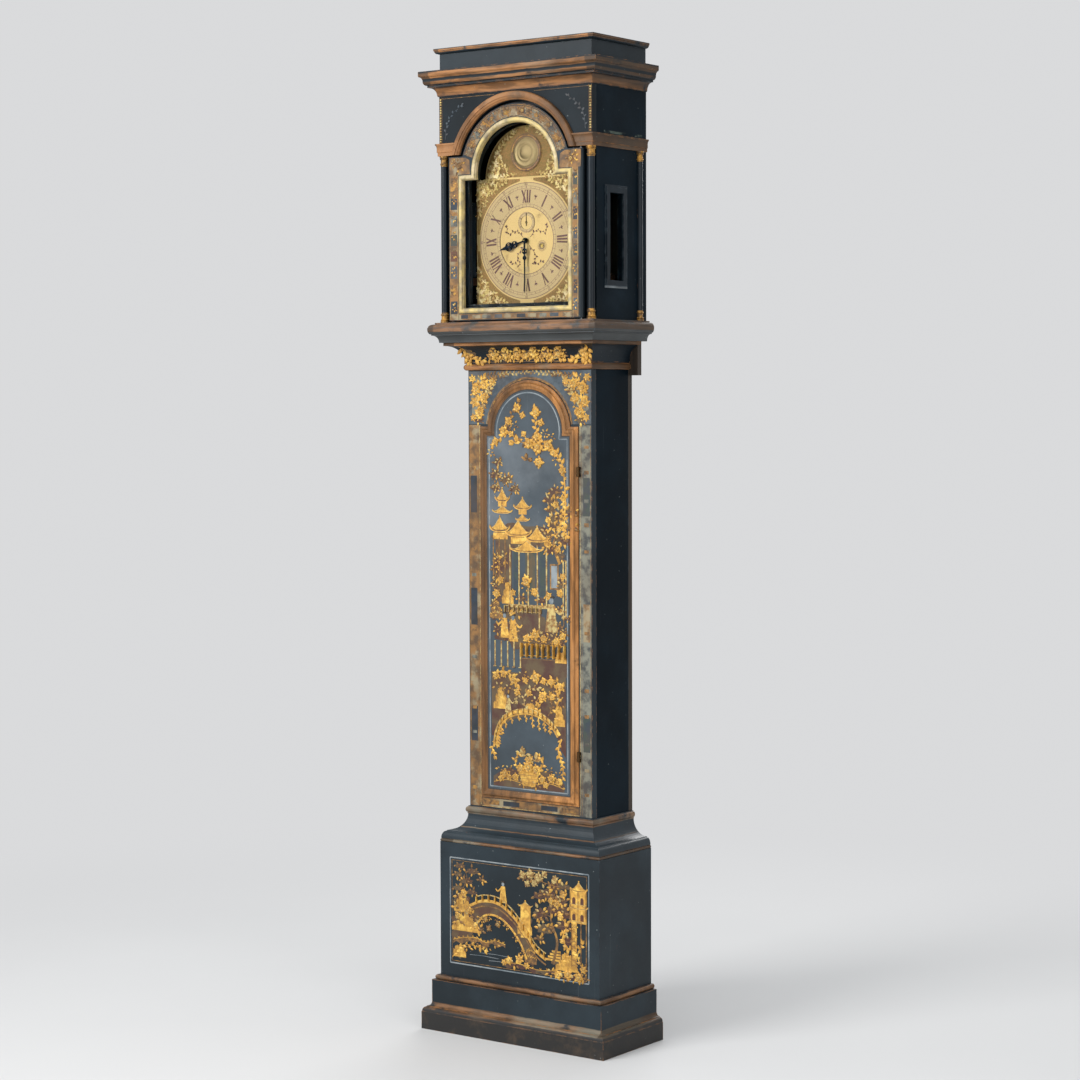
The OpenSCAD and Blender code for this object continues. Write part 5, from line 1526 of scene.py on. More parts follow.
@dataclass
class BasePainting:
    """The wide scene on the base: hump-backed bridge, stones, trees and a tower.

    Attributes:
        half: Half width of the painted line.
        low: Height of its lower side.
        high: Height of its upper side.
        front: y of the base's front in metres.
    """

    half: float = 211.0
    low: float = 169.0
    high: float = 433.0
    front: float = -0.089

    def border(self, p: Painting) -> None:
        """Double grey line.

        Args:
            p: The painting.
        """
        for inset, wide, coat in ((0.0, 3.4, GREY), (6.0, 1.4, DULL)):
            x, low, high = self.half - inset, self.low + inset, self.high - inset
            for z in (low, high):
                p.line([(-x, z), (x, z)], wide, coat)
            for side in (-x, x):
                p.line([(side, low), (side, high)], wide, coat)

    def build(self) -> None:
        """Paints the base."""
        p = Painting("base", "case", self.front, 23)
        for paint in (self.border, self.stones, self.bridge, self.right):
            paint(p)
        p.finish()

    def stones(self, p: Painting) -> None:
        """Trees and stones at the left with the brown bank below them.

        Args:
            p: The painting.
        """
        p.clusters((
            (-180, 414, 20, 8), (-140, 404, 24, 9), (-186, 392, 17, 8), (-160, 378, 25, 10),
            (-186, 358, 18, 9), (-142, 352, 18, 8), (-112, 386, 13, 6)), 10, DULL)
        p.on(DULL).stroke(along([(-168, 320), (-172, 352), (-158, 386), (-170, 418)]), 5, 0.9, 1.8)
        p.rock(-172, 300, 54, 50, GOLD)
        p.rock(-160, 252, 92, 56, GOLD, 4)
        p.on(BROWN).shape(oval(-176, 240, 32, 18), 0.3, 0.3)
        p.bank([(-202, 228), (-170, 236), (-130, 240), (-100, 232), (-72, 240), (-40, 234)], 16,
               DULL)
        p.rock(-182, 186, 40, 30, GOLD, 2)
        p.clusters(((-150, 292, 30, 16), (-182, 276, 20, 18), (-126, 262, 26, 12),
                    (-176, 340, 22, 10), (-192, 308, 12, 14)), 12)
        p.flowers(((-152, 306, 19), (-186, 290, 17), (-132, 270, 17), (-168, 348, 17)), 5)
        p.spray([(-204, 184), (-176, 214), (-140, 220), (-104, 212)], 13)
        p.clusters([(x, z, 16, 6) for x, z in (
            (-130, 226), (-96, 222), (-158, 214), (-120, 262), (-74, 232))],
            9, DULL, back=None, fill=0.7)
        for x0, x1, z in ((-150, -60, 196), (-120, -20, 204), (-90, -30, 188)):
            p.line([(x0, z), ((x0 + x1) / 2, z + 1.5), (x1, z)], 1.2, GREY)

    def bridge(self, p: Painting) -> None:
        """Hump-backed bridge with a walker and a gate post.

        Args:
            p: The painting.
        """
        deck = along([(-150, 318), (-108, 334), (-60, 332), (-18, 308), (24, 268), (52, 232),
                      (84, 212)], 10)
        soffit = along([(-126, 276), (-104, 298), (-70, 302), (-34, 286), (2, 250), (26, 206)], 8)
        p.on(BROWN).shape([*soffit, *reversed(deck[:-8])], 0.25, 0.3)
        for shift, wide, coat in ((0.0, 8.0, GOLD), (-13.0, 4.0, DULL)):
            p.on(coat).stroke([(x, z + shift) for x, z in deck], wide, 1.2)
        p.on(GOLD).stroke(soffit, 6.0, 1.1)
        p.on(PALE).stroke([(x, z + 15) for x, z in deck[6:]], 3.0, 1.2)
        for x, z in deck[6::4]:
            p.unit(Unit.BAR, GOLD, x, z + 8, pi / 2, 15, 0.8, 2.2)
        for x, z in soffit[::6]:
            p.cluster(x - 2, z - 6, 8, 6, 7, DULL)
        p.figure(-46, 336, 56, GOLD, -1.0)
        p.rock(20, 266, 44, 66, GOLD, 3)
        p.strip(8, 38, 258, 338, GOLD, 1.0)
        p.roof(22, 334, 44, 12)
        for z in (276, 296, 316):
            p.line([(11, z), (35, z)], 2.0, INK)
        p.rock(38, 196, 36, 36, DULL, 2)
        p.flowers(((-90, 268, 15), (-62, 282, 15), (-100, 290, 15)), coat=DULL)

    def right(self, p: Painting) -> None:
        """Blossom at the top, a leafy tree and a tower with steps.

        Args:
            p: The painting.
        """
        p.bank([(-46, 186), (0, 192), (60, 184), (120, 188), (202, 180)], 13)
        p.tree(104, 204, 186, 0.6, 13, 7)
        p.flowers(((14, 412, 18), (38, 416, 22), (62, 410, 22), (50, 396, 17), (28, 392, 15),
                   (80, 420, 16), (112, 410, 17)), coat=PALE)
        p.spray([(130, 392), (90, 398), (50, 404), (8, 402)], 12, DULL, stem=2.4, step=0.45)
        for x, z, wide, high in (
                (62, 366, 20, 11), (96, 372, 20, 13), (128, 362, 24, 17), (104, 336, 22, 13),
                (142, 330, 18, 16), (64, 312, 18, 9), (92, 292, 16, 8), (140, 396, 22, 8),
                (66, 262, 15, 8)):
            p.cluster(x, z, wide, high, 12, GOLD if x > 80 else DULL, BROWN)
        p.flowers(((118, 352, 20), (136, 376, 18), (100, 358, 16), (128, 322, 18)))
        p.strip(156, 204, 312, 392, GOLD, 0.9)
        for x, z in ((168, 326), (192, 326), (168, 366), (192, 366)):
            p.on(RED).shape([(x - 5, z - 8), (x + 5, z - 8), (x + 5, z + 5), (x + 2, z + 9),
                             (x - 2, z + 9), (x - 5, z + 5)], 1.2, 0.4, 0.5)
        for z in (316, 348, 358):
            p.on(PALE).stroke([(156, z), (204, z)], 1.6, 1.4, base=0.5)
        for x in (158, 180, 202):
            p.on(DULL).stroke([(x, 313), (x, 388)], 2.2, 1.3, base=0.5)
        p.roof(182, 388, 52, 22)
        p.roof(182, 346, 56, 18)
        p.strip(160, 176, 200, 314, GOLD, 0.9)
        for i in range(9):
            z = 208 + 11.5 * i
            p.on(RED).stroke([(161, z), (168, z + 3.0), (175, z)], 1.5, 1.2, base=0.6)
            p.cluster(168 + 5 * (-1) ** i, z + 5, 5, 4, 5, DULL, fill=0.6)
        p.on(RED).stroke([(161.5, 204), (161.5, 310)], 1.8, 1.3, base=0.6)
        p.posts(188, 204, 214, 314, 2, 3.4, DULL)
        for i in range(4):
            p.strip(84 + 6 * i, 128, 212 + 7 * i, 217 + 7 * i, GOLD, 0.6)
        p.spray([(128, 208), (150, 240), (134, 268), (146, 300)], 14, stem=8)
        p.spray([(196, 200), (178, 232), (192, 262)], 13, stem=5, step=0.45)
        p.rock(146, 192, 66, 44, GOLD)
        p.flowers(((120, 180, 20), (150, 184, 22), (182, 180, 24), (196, 202, 17), (-28, 196, 18),
                   (4, 204, 20), (26, 190, 14), (-44, 190, 13)), 6)
        p.clusters([(x, z, 16, 7) for x, z in (
            (100, 182), (136, 176), (168, 176), (196, 182), (-14, 190))], 11, back=None)


def blocks(p: Painting, low: float, high: float, across: tuple[float, float], upright: bool,
           coats: Sequence[Coat], pitch: float, share: float) -> None:
    """A row of painted blocks along a border.

    Args:
        p: The painting that they belong to.
        low: Start of the row.
        high: End of the row.
        across: The two edges of the row.
        upright: Whether the row runs up or along.
        coats: Finishes used in turn.
        pitch: Distance from block to block.
        share: Share of the distance that is painted.
    """
    count = max(1, round((high - low) / pitch))
    step = (high - low) / count
    for i in range(count):
        a = low + step * (i + 0.5 - share / 2 + p.chance.uniform(-0.08, 0.08))
        b = a + step * share * p.chance.uniform(0.8, 1.1)
        coat = coats[i % len(coats)]
        p.strip(*((*across, a, b) if upright else (a, b, *across)), coat, 0.42)


@dataclass
class TrunkBorder:
    """Painted border of the trunk's front around the door.

    Attributes:
        half: Half width of the trunk.
        door: Half width of the door with its lip.
        low: Top of the foot astragal.
        high: Foot of the top astragal.
        shoulder: Height of the door's shoulders.
        arch: Height of its arch's centre.
        front: y of the trunk's front in metres.
    """

    half: float = 186.5
    door: float = 148.0
    low: float = 558.0
    high: float = 1640.0
    shoulder: float = 1502.0
    arch: float = 1490.0
    front: float = -0.038

    def build(self) -> None:
        """Paints stiles, lower rail, the leafy corners and a painted shadow beside the door."""
        p = Painting("trunk", "case", self.front, 5)
        edge = self.half - 2.0
        for side in (-1, 1):
            a, b = sorted((side * (self.door + 1.5), side * edge))
            p.strip(a, b, self.low + 2, self.shoulder + 4, STILE if side < 0 else ASH)
            lines = ((self.door + 4.0, 1.6, PALE), (edge - 1.6, 1.2, DULL),
                     (self.door + 9.0, 0.8, DULL))
            for x, wide, coat in lines:
                p.line([(side * x, self.low + 6), (side * x, self.shoulder + 2)], wide, coat)
            inner, outer = sorted((side * (self.door + 13), side * (edge - 4)))
            blocks(p, self.low + 60, self.shoulder - 40, (inner, outer), True,
                   (NIGHT,) if side < 0 else (SAGE, STILE), 262, 0.3)
            blocks(p, self.low + 20, self.shoulder - 10, (inner + 3, outer - 3), True,
                   (DULL, STILE, ASH), 66, 0.14)
        # Painted shadow: a dark line in the gap beside the door's right edge.
        p.line([(self.door + 0.8, self.low + 26), (self.door + 0.8, self.shoulder)], 3.0, INK)
        p.strip(-self.door - 1, self.door + 1, self.low + 2, self.low + 24, STILE)
        for x in (-58, 58, -120, 120):
            p.strip(x - 25, x + 25, self.low + 8, self.low + 20,
                    NIGHT if abs(x) < 100 else DULL, 0.3)
        p.line([(-self.door, self.low + 4), (self.door, self.low + 4)], 1.6, PALE)
        self.corners(p)
        p.finish()

    def corners(self, p: Painting) -> None:
        """Leafy sprays on a grey ground beside the door's arch.

        Args:
            p: The painting.
        """
        for side in (-1, 1):
            top, foot, edge = self.high - 2, self.shoulder + 6, self.half - 2
            arch = arc(0.0, self.arch, 128.0, radians(91), radians(-84.5), 13)
            p.on(HAZE).shape(mirrored(side, (
                (edge, foot), (edge, top), (-3, top),
                *((x, z) for x, z in arch if z < self.high - 4), (127, foot))), 0.2, 0.15)
            for x, z, rx, rz in ((158, 1560, 22, 44), (140, 1612, 36, 18), (66, 1630, 40, 6)):
                p.blob(side * x, z, rx, rz, ASH, 0.31)
            for course, leaf, coat, stem, step in (
                    (((96, 1630), (52, 1632), (6, 1634)), 9, PALE, 1.4, 0.5),
                    (((158, 1516), (150, 1550), (164, 1584), (140, 1622)), 16, GOLD, 3.0, 0.3),
                    (((150, 1550), (128, 1580), (106, 1616)), 14, PALE, 2.4, 0.32),
                    (((150, 1624), (112, 1628), (74, 1630)), 11, DULL, 1.8, 0.4)):
                p.spray(mirrored(side, course), leaf, coat, step, stem)
            p.flowers([(side * x, z, size) for x, z, size in (
                (160, 1596, 27), (138, 1572, 24), (168, 1562, 21), (152, 1536, 24),
                (134, 1606, 23), (174, 1620, 17), (112, 1612, 18), (170, 1524, 16))], 6)
            p.clusters([(side * x, *rest) for x, *rest in (
                (154, 1520, 18, 12), (150, 1556, 26, 16), (128, 1592, 20, 14),
                (166, 1584, 14, 16), (146, 1618, 24, 10))], 10, fill=0.8)
        for radius, coat, rise in ((128.5, DULL, 0.5), (131.5, STILE, 0.6)):
            p.on(coat).stroke(
                arc(0.0, self.arch, radius, radians(8), radians(164), 60), 3.2, rise, base=-0.1)


def cove(low: float, high: float, back: float, out: float) -> Callable[[float, float], float]:
    """Depth of a hollow moulding's face at each height.

    Args:
        low: Height of its foot in millimetres.
        high: Height of its top.
        back: y at the wall of the case in metres.
        out: How far it stands out in metres.
    Returns:
        A function of place that gives y in metres.
    """
    def depth(_x: float, z: float) -> float:
        """y in metres at a place."""
        rise = min(1.0, max(0.0, ((z - low) / (high - low) - 0.06) / 0.8))
        return back - out * (0.12 + 0.81 * (1 - sqrt(1 - rise ** 2)))
    return depth


@dataclass
class ThroatPainting:
    """Leafy ornament in the hollow under the hood.

    Attributes:
        low: Height of its foot.
        high: Height of its top.
    """

    low: float = 1655.0
    high: float = 1707.7

    def build(self) -> None:
        """Paints the front of the hollow."""
        p = Painting("throat", "case", cove(self.low, self.high, -0.038, 0.050), 31)
        for side in (-1, 1):
            for course, leaf, stem in ((((186, 1694), (170, 1672), (140, 1663)), 19, 4.0),
                                       (((190, 1698), (187, 1680), (178, 1661)), 16, 3.0)):
                p.spray(mirrored(side, course), leaf, stem=stem, step=0.3)
            p.cluster(side * 170, 1677, 22, 13, 14, GOLD, BROWN, 1.1)
            p.flower(side * 176, 1680, 24)
            for k in range(3):
                x = side * (24 + 37 * k)
                p.spray([(x - 19, 1661), (x - 12, 1684), (x + 6, 1694), (x + 16, 1680),
                         (x + 8, 1666)], 12, stem=2.6, step=0.36)
                p.cluster(x, 1678, 18, 13, 11, DULL, BROWN)
                p.flower(x, 1680 - 3 * (k % 2), 24 - 3 * (k % 2), leaves=6)
                p.cluster(x + side * 18, 1672, 12, 9, 10, PALE if k == 1 else DULL)
        p.flower(0, 1677, 22, leaves=6)
        for z, wide in ((1660, 1.6), (1700.5, 1.2)):
            p.line([(-182, z), (182, z)], wide, DULL)
        p.finish()


@dataclass
class HoodPainting:
    """Painted borders of the hood's door and beads at the frieze's corners.

    Attributes:
        half: Half width of the door.
        bead: Half width of the gilt bead.
        low: Height of the door's lower edge.
        high: Height of its shoulders.
        arch: Height of the arch's centre.
        front: y of the door's and the frieze's front in metres.
    """

    half: float = 200.0
    bead: float = 170.0
    low: float = 1761.0
    high: float = 2160.0
    arch: float = 2114.0
    front: float = -0.095

    def build(self) -> None:
        """Paints the door and the frieze."""
        p = Painting("hood_door", "hood_door", self.front, 17)
        for side in (-1, 1):
            outer = self.half - (11.0 if side > 0 else 2.0)
            a, b = sorted((side * (self.bead + 1.5), side * outer))
            p.strip(a, b, self.low + 2, self.high - 2, STILE)
            blocks(p, self.low + 10, self.high - 50, (a + 3, b - 3), True,
                   (NIGHT, DULL, HAZE, RED, SAGE, ASH) if side < 0
                   else (HAZE, NIGHT, ASH, SAGE), 44, 0.7)
            for i in range(9):
                z = self.low + 32 + 44 * i
                p.cluster((a + b) / 2, z, 6, 10, 7, DULL if i % 2 else GOLD, fill=0.8)
            for x in (a + 1.5, b - 1.5):
                p.line([(x, self.low + 4), (x, self.high - 4)], 1.2, PALE)
        p.strip(-self.bead, self.bead, self.low + 2, self.low + 16, STILE)
        blocks(p, -self.bead, self.bead, (self.low + 4.5, self.low + 13.5), False,
               (NIGHT, TAN, ASH, HAZE, TAN), 34, 0.7)
        self.arch_band(p)
        p.finish()
        self.frieze()

    def arch_band(self, p: Painting) -> None:
        """Scrolling leaves on the arched part of the door.

        Args:
            p: The painting.
        """
        def at(radius: float, turn: float) -> Point:
            """A place by its radius and its degrees from the top, towards the side."""
            a = radians(90 - side * turn)
            return (radius * cos(a), self.arch + radius * sin(a))

        for side in (-1, 1):
            turns = [1.2 * i for i in range(61)]
            p.on(STILE).shape(
                [at(158, t) for t in turns] + [at(135, t) for t in reversed(turns)], 0.2, 0.15)
            p.on(STILE).shape(
                mirrored(side, ((134, 2116), (197, 2116), (197, 2157), (150, 2157), (136, 2150))),
                0.31, 0.15)
            p.cluster(side * 170, 2136, 20, 14, 10, DULL)
            p.flower(side * 168, 2137, 17, DULL)
            for k in range(8):
                turn = 4 + 8.6 * k
                tone = (DULL, TAN, ASH)[k % 3]
                p.spray([at(139 + 13 * (i % 2), turn + 2.2 * i) for i in range(4)], 9, tone,
                        stem=1.8, step=0.42)
                if k % 2 == 0:
                    p.flower(*at(147, turn + 6), 13, DULL)
                    p.on(NIGHT).shape([at(r, turn + t) for r, t in (
                        (140, 8), (154, 8), (154, 10.6), (140, 10.6))], 0.5, 0.2)
        for radius, coat in ((160.5, DULL), (134.0, TAN)):
            p.line(arc(0.0, self.arch, radius, radians(18), radians(144), 60), 1.8, coat)

    def frieze(self) -> None:
        """Strings of beads at the two front corners and faint sprays between."""
        p = Painting("frieze", "hood", self.front, 19)
        for side in (-1, 1):
            for i in range(17):
                p.unit(Unit.BEAD, PALE, side * 224.5, 2199 + 6.4 * i, 0, 5.2, 0.2)
            for x in (220.4, 227.8):
                p.line([(side * x, 2196), (side * x, 2306)], 0.9, DULL)
            p.line([(side * 60, 2303), (side * 219, 2303)], 1.0, DULL)
            p.spray(mirrored(side, ((210, 2204), (206, 2236), (190, 2262), (160, 2284))), 9,
                    HAZE, stem=1.6, step=0.7)
        p.finish()


@dataclass
class Dial:
    """Engraving and cast leaves on the dial, with the domed boss in its arch.

    Attributes:
        middle: Height of the dial's centre in millimetres.
        boss_rise: Height of the arch's boss above it.
        seconds_rise: Height of the seconds ring's centre above it.
        winding: x and height of the right winding hole's centre from it.
        ring: y of the rings' front in metres.
        plate: y of the dial plate's front in metres.
    """

    middle: float = 1952.0
    boss_rise: float = 212.0
    seconds_rise: float = 44.0
    winding: Point = (46.0, -14.0)
    ring: float = -0.0462
    plate: float = -0.045

    def polar(self, radius: float, angle: float) -> Point:
        """A place at a radius and a clock angle in degrees from the top."""
        a = radians(90 - angle)
        return (radius * cos(a), self.middle + radius * sin(a))

    def quarter(self, side: int, up: int, course: Sequence[Point]) -> list[Point]:
        """A course from the dial's centre, turned over to a side and up or down."""
        return [(side * u, self.middle + up * v) for u, v in course]

    def circle(self, p: Painting, radius: float, wide: float, coat: Coat = WORN,
               centre: float = 0.0, aside: float = 0.0) -> None:
        """An engraved circle, clockwise from its top."""
        p.on(coat).stroke(
            arc(aside, self.middle + centre, radius, pi / 2, -2 * pi, 120), wide, 0.1, base=-0.1)

    def numeral(self, p: Painting, text: str, angle: float, radius: float, high: float) -> None:
        """One Roman numeral with its head outwards.

        Args:
            p: The painting.
            text: The numeral.
            angle: Clock angle in degrees.
            radius: Radius of its middle.
            high: Height of its strokes.
        """
        widths = {"I": 5.2, "V": 11.5, "X": 11.5}
        gap = 1.8
        total = sum(widths[c] for c in text) + gap * (len(text) - 1)
        turn = radians(angle)

        def at(u: float, v: float) -> Point:
            """A place by its way along the circle and out from it."""
            a = turn + u / radius
            return ((radius + v) * sin(a), self.middle + (radius + v) * cos(a))

        def limb(u0: float, v0: float, u1: float, v1: float, wide: float) -> None:
            """One straight limb of a letter."""
            p.on(WORN).stroke([at(u0 + (u1 - u0) * i / 3, v0 + (v1 - v0) * i / 3)
                               for i in range(4)], wide * 1.4, 0.14, base=-0.1)

        u, h = -total / 2, high / 2
        for c in text:
            w = widths[c]
            m = u + w / 2
            if c == "I":
                limb(m, -h, m, h, 3.6)
                for v in (h, -h):
                    limb(m - 2.6, v, m + 2.6, v, 0.9)
            else:
                top, low = (w / 2 - 1.2, 0.0 if c == "V" else w / 2 - 1.2)
                limb(m - top, h, m + low, -h, 3.6)
                limb(m + top, h, m - low, -h, 1.9)
                for v, ends in ((h, (-top, top)), (-h, (-low, low))):
                    for end in (ends if c == "X" or v > 0 else ()):
                        limb(m + end - 2.4, v, m + end + 2.4, v, 0.9)
            u += w + gap

    def engraving(self) -> None:
        """Numerals, tracks and half-hour marks on the hour ring."""
        p = Painting("ring", "case", self.ring, 41)
        names = ("XII", "I", "II", "III", "IIII", "V", "VI", "VII", "VIII", "IX", "X", "XI")
        for hour, text in enumerate(names):
            self.numeral(p, text, hour * 30, 107, 30)
            x, z = self.polar(106, hour * 30 + 15)
            turn = radians(90 - hour * 30 - 15)
            for lean, length, width in (
                    (-0.7, 7.5, 5.5), (0.0, 7.5, 5.5), (0.7, 7.5, 5.5), (pi, 6.0, 4.0)):
                p.unit(Unit.LEAF, WORN, x, z, turn + lean, length, 0.0, width, 1.0)
        for radius, wide in ((139.6, 1.3), (131.6, 0.6), (126.0, 0.7), (88.4, 0.6), (81.2, 1.3)):
            self.circle(p, radius, wide)
        for minute in range(60):
            x, z = self.polar(128.8, minute * 6)
            p.unit(Unit.BAR, WORN, x, z, radians(90 - minute * 6), 5.6, 0.0,
                   1.4 if minute % 5 == 0 else 0.6, 0.3)
        for quarter in range(48):
            x, z = self.polar(84.8, quarter * 7.5)
            p.unit(Unit.BAR, WORN, x, z, radians(90 - quarter * 7.5), 7.0, 0.0, 0.6, 0.3)
        p.finish()
        self.figures("minute_figures", [(str(m), m * 6) for m in range(5, 61, 5)], 135.6, 6.2, 0.0)

    def figures(self, name: str, texts: Sequence[tuple[str, float]], radius: float,
                size: float, centre: float) -> None:
        """Small Arabic numbers set around a circle.

        Args:
            name: Name of the piece.
            texts: Each number with its clock angle in degrees.
            radius: Radius of their middles.
            size: Height in millimetres.
            centre: Height of the circle's middle above the dial's.
        """
        bm = bmesh.new()
        for text, angle in texts:
            curve = bpy.data.curves.new("figure", "FONT")
            curve.body = text
            curve.size = size * 0.0013
            curve.extrude = 0.0001
            curve.resolution_u = 3
            curve.align_x, curve.align_y = "CENTER", "CENTER"
            holder = link_object("figure", curve)
            mesh = evaluated(holder)
            bpy.data.objects.remove(holder)
            a = radians(angle)
            x, z = radius * sin(a), self.middle + centre + radius * cos(a)
            mesh.transform(Matrix.Translation((x * MM, self.ring, z * MM))
                           @ Matrix.Rotation(a, 4, "Y") @ Matrix.Rotation(pi / 2, 4, "X"))
            bm.from_mesh(mesh)
            bpy.data.meshes.remove(mesh)
        bmesh.ops.remove_doubles(bm, verts=bm.verts, dist=1e-6)
        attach(add_object(name, closed(bm, name), finish_of(WORN)), "case")

    def seconds(self) -> None:
        """Tracks of the seconds ring and turned rings around the winding holes."""
        p = Painting("seconds", "case", self.ring, 43)
        middle = self.middle + self.seconds_rise
        aside, drop = self.winding
        for radius in (24.4, 21.6, 17.6):
            self.circle(p, radius, 0.5, centre=self.seconds_rise)
        for i in range(60):
            a = radians(i * 6)
            p.unit(Unit.BAR, WORN, 23.0 * sin(a), middle + 23.0 * cos(a),
                   pi / 2 - a, 2.6, 0.0, 0.7 if i % 5 == 0 else 0.35, 0.2)
        for side in (-1, 1):
            self.circle(p, 7.2, 1.6, WORN, drop, side * aside)
        p.finish()
        self.figures("second_figures", [(str(n), n * 6) for n in range(10, 61, 10)],
                     19.6, 2.9, self.seconds_rise)

    def leaves(self) -> None:
        """Cast leaves in the corners and the arch, and scrolls in the centre."""
        p = Painting("dial", "case", self.plate, 47)
        matt = p.on(MATT)
        aside, drop = self.winding
        arch = arc(0.0, self.middle + 152.5, 121.5, 0.0, pi, 48)
        matt.shape(
            [(-121, self.middle + 154.5), (121, self.middle + 154.5), *arch[1:-1]], 0.12, 0.1)
        ground = [(20, 144.5), (20, 150), (150, 150), (150, 20),
                  *arc(0.0, 0.0, 144.5, radians(8), radians(70.3), 19)]
        for side, up in product((-1, 1), repeat=2):
            matt.shape(self.quarter(side, up, ground), 0.12, 0.1)
        for side in (-1, 1):
            for up in (-1, 1):
                for flip in (False, True):
                    for course, leaf, stem, step in (
                            (((146, 146), (146, 118), (140, 92), (147, 66)), 12, 3.4, 0.3),
                            (((140, 118), (126, 112), (122, 98), (132, 92)), 9, 2.4, 0.34)):
                        if flip:
                            course = [(b, a) for a, b in course]
                        p.spray(self.quarter(side, up, course), leaf, CAST, step, stem)
                for away, size, leaves in ((136, 26, 7), (120, 17, 5)):
                    p.flower(side * away, self.middle + up * away, size, CAST, leaves)
                p.cluster(side * 128, self.middle + up * 128, 13, 13, 9, CAST)
            for course, leaf, stem, step in (
                    (((58, 166), (72, 186), (96, 190), (112, 172), (100, 162)), 12, 4.0, 0.28),
                    (((96, 190), (86, 216), (64, 244), (34, 266)), 12, 3.6, 0.3),
                    (((30, 162), (70, 158), (108, 156)), 9, 2.6, 0.34)):
                p.spray(self.quarter(side, 1, course), leaf, CAST, step, stem)
            p.flowers(
                ((side * 84, self.middle + 204, 20), (side * 100, self.middle + 176, 16)), 5, CAST)
            for course in (((10, 8), (30, 24), (56, 18), (60, 34)),
                           ((8, -12), (28, -38), (20, -58), (46, -52))):
                p.spray(self.quarter(side, 1, course), 7, WORN, 0.8, 0.8, 0.0)
            for radius in (10.4, 12.8):
                self.circle(p, radius, 0.8, WORN, drop, side * aside)
        p.flower(0, self.middle + 270, 14, CAST, 5)
        for side in (-1, 1):
            p.on(CAST).stroke(self.quarter(side, 1, ((151, -151), (151, 151))), 1.4, 0.6)
        p.finish()

    def boss(self) -> None:
        """A silvered dome with turned rings, in the middle of the arch."""
        profile = ((5.0, 8.3), (11.0, 7.2), (16.0, 5.4), (19.0, 4.0), (19.6, 5.0), (21.4, 5.0),
                   (22.2, 3.6), (26.0, 4.2), (30.0, 3.6), (31.0, 4.6), (33.0, 4.6), (34.0, 3.0),
                   (36.5, 3.2), (37.8, 2.4), (38.4, 1.2), (38.4, 0.9))
        bm = bmesh.new()
        middle = self.middle + self.boss_rise
        shell(bm, [[bm.verts.new((r * MM * cos(a), self.plate - h * MM,
                                  (middle + r * sin(a)) * MM)) for a in round_angles(96)]
                   for r, h in reversed(profile)])
        mesh = closed(bm, "boss_dome")
        mesh.shade_smooth()
        silver = Metal(
            "boss_silver", Tone.BOSS, rough=0.5, spots=0.7, grain=(90.0, 40.0, 90.0), metal=0.75)
        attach(add_object("boss_dome", mesh, silver.build()), "case")
        p = Painting("boss", "case", self.plate - 0.003, 53)
        for radius, wide, coat in ((41.4, 4.4, DULL), (38.9, 2.0, WORN), (44.2, 2.0, WORN)):
            self.circle(p, radius, wide, coat, self.boss_rise)
        p.finish()

    def build(self) -> None:
        """Makes everything on the dial."""
        for make in (self.engraving, self.seconds, self.leaves, self.boss):
            make()


